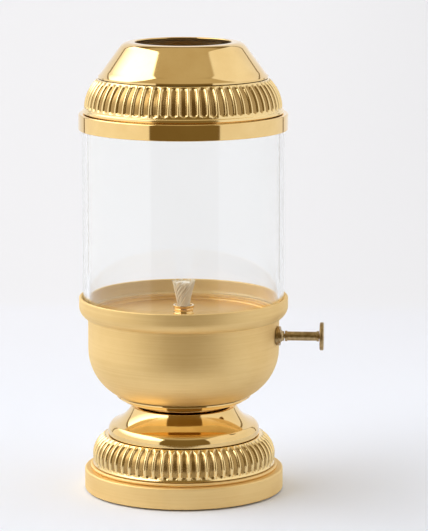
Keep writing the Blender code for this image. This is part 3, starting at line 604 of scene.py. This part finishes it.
zinc_plate = make_plain_steel()
for fixing in ("fixing_stud", "fixing_washer", "fixing_nut"):
    refinish(fixing, zinc_plate)


# ---------------------------------------------------------------------------------------------
# Collar under the bowl: a polished saucer, turned to the curve of the bowl's belly on top, with
# a small bead at its lower edge where it meets the neck.

collar_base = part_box("bowl_collar")[0].z / MM
bowl_r, bowl_base, bowl_top = measure("bowl")
belly_r, bowl_wall = 26.0, 1.2
glass_r, glass_base, glass_top = measure("glass_chimney")
glass_wall = 3.0
bowl_inner_r = glass_r - glass_wall - 0.55
bowl_side_r = bowl_inner_r + bowl_wall
belly_axis = (bowl_side_r - belly_r, bowl_base + belly_r)
collar_foot_r, collar_flare, collar_bead, collar_edge = neck_top_r - 2.2, 9.5, 0.8, 0.6
seat_angle = -math.degrees(math.acos((collar_foot_r + collar_flare - belly_axis[0]) / (belly_r + 0.3)))
collar_seat = arc(belly_axis, belly_r + 0.3, seat_angle, -90, 16)
collar_lip = (collar_seat[0][0] + 0.3 * collar_edge, collar_seat[0][1] - collar_edge)
bead = arc((collar_foot_r - collar_bead, collar_base + collar_bead), collar_bead, -90, 80, 12)
collar_side = arc_between(bead[-1], collar_lip, 13.0, 20)
collar_outline = [(stud_hole_r, collar_base)] + bead + collar_side[1:-1]
collar_outline += [(*collar_lip, 0.2)] + collar_seat + [(stud_hole_r, collar_seat[-1][1])]
fit("collar_saucer", spun_mesh("collar_saucer", collar_outline), polished_brass, "lamp_body", "bowl_collar")


# ---------------------------------------------------------------------------------------------
# Oil bowl: spun brass with a round belly, brushed round its side. Its rim steps out over a
# groove into an upright lip, and the ledge inside the lip carries the glass.

lip_wall, lip_depth, rim_height, rim_groove, groove_step = 1.5, 6.8, 11.2, 1.0, 0.55
ledge = bowl_top - lip_depth
lip_inner_r = bowl_r - lip_wall
groove_r = bowl_side_r + groove_step
rim_base = bowl_top - rim_height
under_lip = arc_between((groove_r + 1.0, rim_base + rim_groove + 0.3), (bowl_r, bowl_top - 5.2), 6.5, 14)
bowl_outline = [(0, bowl_base)] + arc(belly_axis, belly_r, -90, 0, 40)
bowl_outline += [(bowl_side_r, bowl_base + belly_r + 2 * row) for row in range(1, 8)]
bowl_outline += [(bowl_side_r, rim_base, 0.2), (groove_r, rim_base, 0.25),
                 (groove_r, rim_base + rim_groove, 0.2)]
bowl_outline += under_lip + [(bowl_r, bowl_top, 0.55), (lip_inner_r, bowl_top, 0.55),
                             (lip_inner_r, ledge, 0.3), (bowl_inner_r, ledge, 0.3)]
bowl_outline += [(bowl_inner_r, bowl_base + belly_r + 2 * row) for row in range(7, 0, -1)]
bowl_outline += arc(belly_axis, belly_r - bowl_wall, 0, -90, 32) + [(0, bowl_base + bowl_wall)]
spindle_joint = next(joint for joint in frame["joints"] if joint["name"] == "knob_turn")
spindle_place = Vector(spindle_joint["pos_m"])


def on_spindle(mesh):
    """Lay a mesh that was turned round +Z along the winder's spindle."""
    to_spindle = Matrix.Translation((0, spindle_place.y, spindle_place.z))
    mesh.transform(to_spindle @ Matrix.Rotation(math.pi / 2, 4, "Y"))
    return mesh


def combined(mesh, other_mesh, operation):
    """Cut, join or cross one closed mesh with another and give back the plain mesh that results."""
    body = bpy.data.objects.new("body", mesh)
    other = bpy.data.objects.new("other", other_mesh)
    for each in (body, other):
        bpy.context.scene.collection.objects.link(each)
    modifier = body.modifiers.new("boolean", "BOOLEAN")
    modifier.operation = operation
    modifier.object = other
    modifier.solver = "EXACT"
    depsgraph = bpy.context.evaluated_depsgraph_get()
    result = bpy.data.meshes.new_from_object(body.evaluated_get(depsgraph), depsgraph=depsgraph)
    result.name = mesh.name
    result.set_sharp_from_angle(angle=math.radians(28))
    for each in (body, other):
        bpy.data.objects.remove(each, do_unlink=True)
    return result


bush_r, bush_gap = 3.0, 0.3
gland_hole = [(0, bowl_inner_r - 8), (bush_r + bush_gap, bowl_inner_r - 8),
              (bush_r + bush_gap, bowl_side_r + 4), (0, bowl_side_r + 4)]
bowl_mesh = spun_mesh("oil_bowl", bowl_outline)
bowl_mesh = combined(bowl_mesh, on_spindle(spun_mesh("gland_hole", gland_hole, 48)), "DIFFERENCE")
fit("oil_bowl", bowl_mesh, satin_brass, "lamp_body", "bowl")
refinish("pan_support_ring", satin_brass)


# ---------------------------------------------------------------------------------------------
# Gland in the bowl's side: a turned bush of dull brass with a flange outside and a short flared
# nose. A rubber seal and a nut hold it from inside, and a packing ring stops oil at the spindle.

def make_dull_brass():
    """Brass left as turned: brown, uneven, lightly scratched and brighter where it is rubbed."""
    material, tree, shader, place = start_material("dull_brass")
    stains = noise(tree, place, 380, 6, 0.65)
    scratches = noise(tree, place, 2600, 3)
    shade = step_up(tree, maths(tree, "ADD", stains, maths(tree, "MULTIPLY", scratches, 0.35)), 0.4, 0.95)
    tree.links.new(blend_between(tree, shade, (0.26, 0.17, 0.07, 1), (0.62, 0.47, 0.26, 1)),
                   shader.inputs["Base Color"])
    tree.links.new(maths(tree, "MULTIPLY_ADD", stains, 0.25, 0.20), shader.inputs["Roughness"])
    shader.inputs["Metallic"].default_value = 1.0
    bump(tree, shader, maths(tree, "ADD", scratches, stains), 0.02)
    return material


def make_rubber():
    material, tree, shader, place = start_material("nitrile_rubber")
    grain = noise(tree, place, 1500, 4)
    tree.links.new(blend_between(tree, grain, (0.015, 0.015, 0.015, 1), (0.05, 0.05, 0.05, 1)),
                   shader.inputs["Base Color"])
    tree.links.new(maths(tree, "MULTIPLY_ADD", grain, 0.2, 0.5), shader.inputs["Roughness"])
    bump(tree, shader, grain, 0.02)
    return material


dull_brass = make_dull_brass()
nitrile_rubber = make_rubber()
bush_low, bush_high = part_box("gland_bush")
bush_tail_x, bush_nose_x = bush_low.x / MM, bush_high.x / MM
bush_flange_r, bush_nose_foot_r, bush_nose_r = 4.8, 3.9, 2.35
flange_inner_r = bowl_side_r + bush_gap
flange_outer_r = flange_inner_r + 1.2
bush_face_x = math.sqrt(flange_outer_r ** 2 - (spindle_place.y / MM) ** 2)
spindle_hole_r = (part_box("spindle")[1].z - spindle_place.z) / MM + 0.12
deep_x, far_x = bowl_inner_r - 8, bowl_side_r + 8
wall_low, wall_high = spindle_place.z / MM - 12, spindle_place.z / MM + 12


def rod(name, radius, low, high, steps):
    return spun_mesh(name, [(0, low), (radius, low), (radius, high), (0, high)], steps)


bush_mesh = on_spindle(rod("winder_bush", bush_flange_r, deep_x, far_x, 64))
bush_mesh = combined(bush_mesh, rod("flange_face", flange_outer_r, wall_low, wall_high, 180), "INTERSECT")
nose_hollow = arc_between((bush_nose_foot_r, bush_face_x + 0.1), (bush_nose_r, bush_nose_x - 0.3), -2.6, 8)
nose = [(0, deep_x), (bush_nose_foot_r, deep_x)] + nose_hollow
nose += [(bush_nose_r, bush_nose_x), (0, bush_nose_x)]
bush_mesh = combined(bush_mesh, on_spindle(spun_mesh("nose", nose, 64)), "UNION")
bush_mesh = combined(bush_mesh, rod("bowl_side", flange_inner_r, wall_low, wall_high, 180), "DIFFERENCE")
bush_mesh = combined(bush_mesh, on_spindle(rod("tail", bush_r, bush_tail_x, bush_face_x, 64)), "UNION")
spindle_hole = on_spindle(rod("spindle_hole", spindle_hole_r, bush_tail_x - 1, bush_nose_x + 1, 48))
bush_mesh = combined(bush_mesh, spindle_hole, "DIFFERENCE")
fit("winder_bush", bush_mesh, dull_brass, "lamp_body", "gland_bush")
refinish("gland_nut", dull_brass)
refinish("gland_seal", nitrile_rubber)
refinish("packing_ring", nitrile_rubber)
refinish("spindle_bracket", satin_brass)


# ---------------------------------------------------------------------------------------------
# Winder: a thin spindle with a toothed wheel that grips the wick, and outside the bowl a sleeve
# with a ring at each end and a thin flat disc to turn it by. All of it is dull turned brass.

sleeve_low, sleeve_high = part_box("knob_sleeve")
sleeve_r, sleeve_hole_r, sleeve_ring = 2.25, 1.55, 1.2
sleeve_ring_r = (sleeve_high.z - spindle_place.z) / MM
sleeve_x, sleeve_end = sleeve_low.x / MM, sleeve_high.x / MM
sleeve_outline = [(sleeve_hole_r, sleeve_x), (sleeve_ring_r, sleeve_x, 0.25),
                  (sleeve_ring_r, sleeve_x + sleeve_ring, 0.25), (sleeve_r, sleeve_x + sleeve_ring, 0.15),
                  (sleeve_r, sleeve_end - sleeve_ring, 0.15),
                  (sleeve_ring_r, sleeve_end - sleeve_ring, 0.25),
                  (sleeve_ring_r, sleeve_end, 0.25), (sleeve_hole_r, sleeve_end)]
fit("knob_shank", on_spindle(spun_mesh("knob_shank", sleeve_outline, 64)), dull_brass, "winder",
    "knob_sleeve")
knob_low, knob_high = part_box("knob_disc")
knob_r = (knob_high.z - knob_low.z) / 2 / MM
knob_x, knob_end = knob_low.x / MM, knob_high.x / MM
knob_outline = [(0, knob_end - 1), (sleeve_hole_r, knob_end - 1), (sleeve_hole_r, knob_x),
                (knob_r, knob_x, 0.6), (knob_r, knob_end, 0.6), (0, knob_end)]
fit("knob_plate", on_spindle(spun_mesh("knob_plate", knob_outline, 96)), dull_brass, "winder",
    "knob_disc")
spindle_low, spindle_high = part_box("spindle")
spindle_r = (spindle_high.z - spindle_low.z) / 2 / MM
spindle_outline = [(0, spindle_low.x / MM), (spindle_r, spindle_low.x / MM, 0.3),
                   (spindle_r, spindle_high.x / MM, 0.3), (0, spindle_high.x / MM)]
fit("winder_rod", on_spindle(spun_mesh("winder_rod", spindle_outline, 48)), dull_brass, "winder",
    "spindle")
refinish("spur_wheel", dull_brass)
refinish("thrust_collar", dull_brass)


# ---------------------------------------------------------------------------------------------
# Drip pan: a shallow dish spun from thin brass and brushed in rings, which lies on the ring
# soldered inside the bowl. The burner goes through its middle, and the two lift out together.

pan_brass = make_satin_brass("pan_brass", (0.82, 0.56, 0.22, 1), (0.64, 0.41, 0.13, 1), 0.42, 0.006)
pan_r, pan_base, pan_rim = measure("drip_pan")
pan_sheet = 1.0
pan_top = pan_base + pan_sheet
burner_r, burner_base, burner_top = measure("burner_collar")
burner_bore_r = burner_r - 1.2
pan_outline = [(burner_bore_r, pan_base), (pan_r, pan_base, 1.6), (pan_r, pan_rim, 0.3),
               (pan_r - pan_sheet, pan_rim, 0.3), (pan_r - pan_sheet, pan_top, 1.4)]
pan_outline += [(pan_r * share, pan_top) for share in (0.9, 0.8, 0.7, 0.6, 0.5, 0.4, 0.3, 0.2)]
pan_outline += [(burner_bore_r, pan_top)]
fit("pan_spinning", spun_mesh("pan_spinning", pan_outline), pan_brass, "burner", "drip_pan")


# ---------------------------------------------------------------------------------------------
# Burner: a slotted tube that guides the wick, held in the pan by a polished collar with a bead
# and a small flange on top, and by a thin nut underneath.

burner_body_r = burner_r - 0.6
burner_outline = [(burner_bore_r, burner_base), (burner_body_r, burner_base, 0.1)]
burner_outline += arc((burner_body_r, burner_base + 0.9), 0.55, -80, 80, 10)
burner_outline += [(burner_body_r - 0.15, burner_base + 2.1, 0.5)]
burner_outline += arc((burner_body_r - 0.1, burner_base + 2.9), 0.4, -70, 70, 8)
burner_outline += [(burner_body_r - 0.1, burner_top - 1.3, 0.3), (burner_r, burner_top - 0.95, 0.2),
                   (burner_r, burner_top, 0.25), (burner_bore_r, burner_top, 0.2)]
fit("burner_turning", spun_mesh("burner_turning", burner_outline, 120), polished_brass, "burner",
    "burner_collar")
refinish("wick_tube", satin_brass)
refinish("burner_locknut", polished_brass)


# ---------------------------------------------------------------------------------------------
# Wick: a round cord of cotton yarns laid up with a slow twist, cut square above the burner, where
# the yarns spread and their ends fray.

WICK_YARNS = 36


def make_yarn_tree():
    """Lay yarns side by side round a core, twisted and spreading towards their cut ends."""
    tree, given = new_growth("lay_yarns", {
        "Yarns": "NodeSocketInt", "Base": "NodeSocketFloat", "Mouth": "NodeSocketFloat",
        "Top": "NodeSocketFloat", "Tight": "NodeSocketFloat", "Spread": "NodeSocketFloat",
        "Turns": "NodeSocketFloat", "Yarn": "NodeSocketFloat"})
    ends = {"Start": (0, 0, 0), "End": (0, 0, 1)}
    line = add(tree, "GeometryNodeCurvePrimitiveLine", {"mode": "POINTS"}, ends)
    line = add(tree, "GeometryNodeResampleCurve", None, {"Curve": line, "Count": 90})
    points = add(tree, "GeometryNodePoints", None, {"Count": given["Yarns"]})
    strands = add(tree, "GeometryNodeInstanceOnPoints", None, {"Points": points, "Instance": line})
    number = add(tree, "GeometryNodeInputIndex")
    strands = add(tree, "GeometryNodeStoreNamedAttribute", {"data_type": "FLOAT", "domain": "INSTANCE"},
                  {"Geometry": strands, "Name": "yarn", "Value": number})
    strands = add(tree, "GeometryNodeRealizeInstances", None, {0: strands})
    yarn = add(tree, "GeometryNodeInputNamedAttribute", {"data_type": "FLOAT"}, {"Name": "yarn"})
    along = add(tree, "GeometryNodeSplineParameter")
    chance = tree.nodes.new("FunctionNodeRandomValue")
    chance.data_type = "FLOAT"
    tree.links.new(yarn, chance.inputs["ID"])
    chance.inputs["Seed"].default_value = 7
    luck = chance.outputs[1]
    uneven = maths(tree, "SUBTRACT", luck, 0.8)
    top = maths(tree, "ADD", given["Top"], maths(tree, "MULTIPLY", uneven, 1.1 * MM))
    z = maths(tree, "MULTIPLY_ADD", along, maths(tree, "SUBTRACT", top, given["Base"]), given["Base"])
    spread = maths(tree, "DIVIDE", maths(tree, "SUBTRACT", z, given["Mouth"]),
                   maths(tree, "SUBTRACT", given["Top"], given["Mouth"]))
    spread = maths(tree, "MINIMUM", maths(tree, "MAXIMUM", spread, 0.0), 1.0)
    curve = maths(tree, "POWER", spread, 1.15)
    radius = maths(tree, "MULTIPLY_ADD", curve, maths(tree, "SUBTRACT", given["Spread"], given["Tight"]),
                   given["Tight"])
    share = maths(tree, "DIVIDE", yarn, given["Yarns"])
    twist = maths(tree, "ADD", share, maths(tree, "MULTIPLY", along, given["Turns"]))
    angle = maths(tree, "MULTIPLY", twist, 2 * math.pi)
    ripple = maths(tree, "MULTIPLY_ADD", luck, 0.10, 0.93)
    radius = maths(tree, "MULTIPLY", radius, ripple)
    place = add(tree, "ShaderNodeCombineXYZ", None,
                {0: maths(tree, "MULTIPLY", radius, maths(tree, "COSINE", angle)),
                 1: maths(tree, "MULTIPLY", radius, maths(tree, "SINE", angle)), 2: z})
    strands = add(tree, "GeometryNodeSetPosition", None, {"Geometry": strands, "Position": place})
    thick = maths(tree, "MULTIPLY_ADD", curve, 0.75, 1.0)
    section = add(tree, "GeometryNodeCurvePrimitiveCircle", {"mode": "RADIUS"},
                  {"Resolution": 6, "Radius": given["Yarn"]})
    strands = add(tree, "GeometryNodeSetCurveRadius", None, {"Curve": strands, "Radius": thick})
    body = add(tree, "GeometryNodeCurveToMesh", None,
               {"Curve": strands, "Profile Curve": section, "Fill Caps": True})
    joined = tree.nodes.new("GeometryNodeJoinGeometry")
    tree.links.new(given["Geometry"], joined.inputs[0])
    tree.links.new(body, joined.inputs[0])
    shaded = add(tree, "GeometryNodeSetShadeSmooth", None,
                 {"Geometry": joined.outputs[0], "Shade Smooth": True})
    end_growth(tree, given, shaded)
    return tree


def make_cotton():
    """Undyed cotton: cream fibres lying along the yarns, with a little sheen, and every other yarn painted
    darker as painted shade between the yarns.
    """
    material, tree, shader, place = start_material("cotton_yarn")
    twisted = add(tree, "ShaderNodeVectorRotate", {"rotation_type": "AXIS_ANGLE"},
                  {"Vector": place, "Axis": (0.35, 0.2, 1.0), "Angle": 0.5})
    fibres = noise(tree, twisted, 2600, 5, 0.7)
    soil = noise(tree, place, 300, 3)
    shade = maths(tree, "ADD", maths(tree, "MULTIPLY", fibres, 0.7), maths(tree, "MULTIPLY", soil, 0.3))
    clean = step_up(tree, shade, 0.3, 0.7)
    colour = blend_between(tree, clean, (0.86, 0.77, 0.60, 1), (0.98, 0.95, 0.88, 1))
    # Painted shade: every other yarn is painted darker, standing in for the shade in the grooves between the
    # yarns.
    yarn = stored_number(tree, "yarn")
    alternate_yarn_painted_shade = maths(tree, "MULTIPLY", maths(tree, "FRACT", maths(tree, "MULTIPLY", yarn, 0.5)), 1.5)
    colour = blend_between(tree, alternate_yarn_painted_shade, colour, (0.72, 0.60, 0.41, 1))
    tree.links.new(colour, shader.inputs["Base Color"])
    shader.inputs["Roughness"].default_value = 0.9
    shader.inputs["Sheen Weight"].default_value = 0.3
    bump(tree, shader, fibres, 0.12)
    return material


cotton_yarn = make_cotton()
wick_low, wick_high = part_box("wick")
wick_base, wick_top = wick_low.z / MM, wick_high.z / MM
wick_r, wick_spread_r, yarn_r = 3.2, wick_high.x / MM, 0.34
core_outline = [(0, wick_base + 0.4), (wick_r - 0.9, wick_base + 0.4), (wick_r - 0.9, burner_top + 1.0),
                (wick_spread_r - 1.9, wick_top - 2.4, 0.5), (wick_spread_r - 2.6, wick_top - 1.3, 0.6),
                (0, wick_top - 1.0)]
yarn_tree = make_yarn_tree()
wick_sizes = {"Yarns": WICK_YARNS, "Base": wick_base * MM + 0.0002, "Mouth": (burner_top + 0.6) * MM,
              "Top": (wick_top - 0.3) * MM, "Tight": (wick_r - yarn_r) * MM,
              "Spread": (wick_spread_r - 0.75) * MM, "Turns": 1.3, "Yarn": yarn_r * MM}
wick_mesh = grow("wick_cord", yarn_tree, spun_mesh("wick_core", core_outline, 48), cotton_yarn, wick_sizes)
fit("wick_cord", wick_mesh, None, "wick", "wick")


# ---------------------------------------------------------------------------------------------
# Chimney: a clear tube of heat-proof glass with fire-polished ends. It stands on the bowl's ledge
# inside the lip and carries the cap.

def make_clear_glass():
    material, tree, shader, place = start_material("clear_glass")
    drawn = noise(tree, round_place(tree, place, 1.0, 0.15), 20, 2)
    shader.inputs["Base Color"].default_value = (0.985, 0.992, 0.99, 1)
    shader.inputs["Roughness"].default_value = 0.0
    shader.inputs["IOR"].default_value = 1.47
    shader.inputs["Transmission Weight"].default_value = 1.0
    bump(tree, shader, drawn, 0.006, 0.3)
    return material


glass_outline = [(glass_r - glass_wall, glass_base, 0.9), (glass_r, glass_base, 0.9),
                 (glass_r, glass_top, 0.9), (glass_r - glass_wall, glass_top, 0.9)]
glass_tube = fit("glass_tube", spun_mesh("glass_tube", glass_outline, 256), make_clear_glass(), "chimney",
                 "glass_chimney")
glass_tube.visible_shadow = False


# ---------------------------------------------------------------------------------------------
# Cap band: a polished turned ring whose skirt slips over the glass and whose web rests on the
# glass's top edge.

band_r, band_base, band_top = measure("cap_band")
skirt_r, web_base = glass_r + 0.4, glass_top + 0.3
band_seat_r = skirt_r - 3.9
band_outline = [(skirt_r, band_base, 0.2), (band_r, band_base, 0.3), (band_r, band_top, 0.8),
                (band_seat_r, band_top, 0.2), (band_seat_r, web_base, 0.2), (skirt_r, web_base, 0.3)]
fit("band_turning", spun_mesh("band_turning", band_outline), polished_brass, "cap", "cap_band")


# ---------------------------------------------------------------------------------------------
# Cap dome: pressed and fluted like the foot's ring, with a bead at its foot and a flat shelf on
# top for the crown. A spigot under it centres it in the band.

dome_bead_r, spigot_base, dome_top = measure("cap_dome")
dome_base = band_top + 0.3
dome_waist_z, dome_sheet = dome_base + 2.2, 1.5
dome_waist_r = dome_bead_r - 0.7
crown_foot_r, crown_spigot_base, crown_top = measure("cap_crown")
crown_base = dome_top + 0.3
dome_shelf_r = crown_foot_r + 0.1
dome_opening_r = dome_shelf_r - 4.6
dome_centre, dome_bulge_r = bulge(dome_waist_r, dome_waist_z, dome_waist_r - dome_shelf_r, dome_top)
dome_top_angle = math.degrees(math.asin((dome_top - dome_waist_z) / dome_bulge_r))
spigot_r = band_seat_r - 0.3
dome_outline = [(spigot_r, dome_base), (dome_bead_r, dome_base, 0.4), (dome_bead_r, dome_base + 1.4, 0.5),
                (dome_waist_r + 0.1, dome_waist_z - 0.4, 0.4)]
dome_outline += arc(dome_centre, dome_bulge_r, 1.0, dome_top_angle - 2, 40)
dome_outline += [(dome_shelf_r - 0.2, dome_top, 0.6), (dome_opening_r, dome_top, 0.2),
                 (dome_opening_r, dome_top - dome_sheet)]
dome_outline += arc(dome_centre, dome_bulge_r - dome_sheet - 0.9, dome_top_angle - 6, 6, 12)
dome_outline += [(spigot_r - 1.3, dome_base + dome_sheet, 0.5), (spigot_r - 1.3, spigot_base, 0.2),
                 (spigot_r, spigot_base, 0.2)]
dome_flutes = {"Count": FLUTE_COUNT, "Depth": 0.95 * MM, "Low": (dome_waist_z + 0.6) * MM,
               "High": (dome_top - 0.5) * MM, "Share": 0.68, "Wall": 0.16, "End": 0.2}
dome_mesh = spun_mesh("dome_flutes", dome_outline, FLUTE_COUNT, 3, FLUTE_PLACES)
dome_mesh = grow("dome_flutes", flute_tree, dome_mesh, fluted_brass, dome_flutes)
fit("dome_flutes", dome_mesh, None, "cap", "cap_dome")


# ---------------------------------------------------------------------------------------------
# Crown: a polished cone with a rolled shoulder and an open top that lets the hot air out. Its foot
# flares on to the dome's shelf, and a spigot inside the foot centres it.

def make_crown_brass():
    """The polished brass, painted dark brown and made duller on the faces that look in towards the axis, as
    painted shade inside the crown.
    """
    material = polished_brass.copy()
    material.name = "crown_brass"
    tree = material.node_tree
    shader = tree.nodes["Principled BSDF"]
    place = tree.nodes.new("ShaderNodeTexCoord").outputs
    # Painted shade: faces that look in towards the axis are painted dark brown inside the crown.
    inward_painted_shade = step_up(tree, dot_product(tree, place["Normal"], place["Object"]), 0.0, -0.004)
    brass = shader.inputs["Base Color"].links[0].from_socket
    tree.links.new(blend_between(tree, inward_painted_shade, brass, (0.16, 0.10, 0.04, 1)), shader.inputs["Base Color"])
    gloss = shader.inputs["Roughness"].links[0].from_socket
    tree.links.new(maths(tree, "MULTIPLY_ADD", inward_painted_shade, 0.35, gloss), shader.inputs["Roughness"])
    return material


cone_foot = (crown_foot_r - 2.3, crown_base + 3.5)
crown_lean, crown_round, crown_sheet, opening_r = 36.3, 6.0, 1.5, 23.8
crown_foot_edge, crown_cove_r = 0.9, 10.0
lean = math.radians(crown_lean)
cone_rise = crown_top - crown_round + crown_round * math.sin(lean) - cone_foot[1]
round_centre = (cone_foot[0] - cone_rise * math.tan(lean) - crown_round * math.cos(lean),
                crown_top - crown_round)
crown_inside = arc(round_centre, crown_round - crown_sheet, 90, crown_lean, 14)
crown_spigot_r = dome_opening_r - 0.3
inner_foot = crown_inside[-1][1] - (crown_spigot_r - crown_sheet - crown_inside[-1][0]) / math.tan(lean)
cone_top = (round_centre[0] + crown_round * math.cos(lean), round_centre[1] + crown_round * math.sin(lean))
crown_outline = [(crown_foot_r, crown_base)]
crown_outline += arc_between((crown_foot_r, crown_base + crown_foot_edge), cone_foot, -crown_cove_r, 12)
crown_outline += [tuple(Vector(cone_foot).lerp(cone_top, share)) for share in (0.08, 0.3, 0.5, 0.7, 0.92)]
crown_outline += arc(round_centre, crown_round, crown_lean, 90, 24)
crown_outline += [(opening_r, crown_top, 0.5), (opening_r, crown_top - crown_sheet, 0.5)] + crown_inside
crown_outline += [(crown_spigot_r - crown_sheet, inner_foot, 0.8),
                  (crown_spigot_r - crown_sheet, crown_spigot_base, 0.3),
                  (crown_spigot_r, crown_spigot_base, 0.3), (crown_spigot_r, crown_base)]
fit("crown_spinning", spun_mesh("crown_spinning", crown_outline), make_crown_brass(), "cap", "cap_crown")
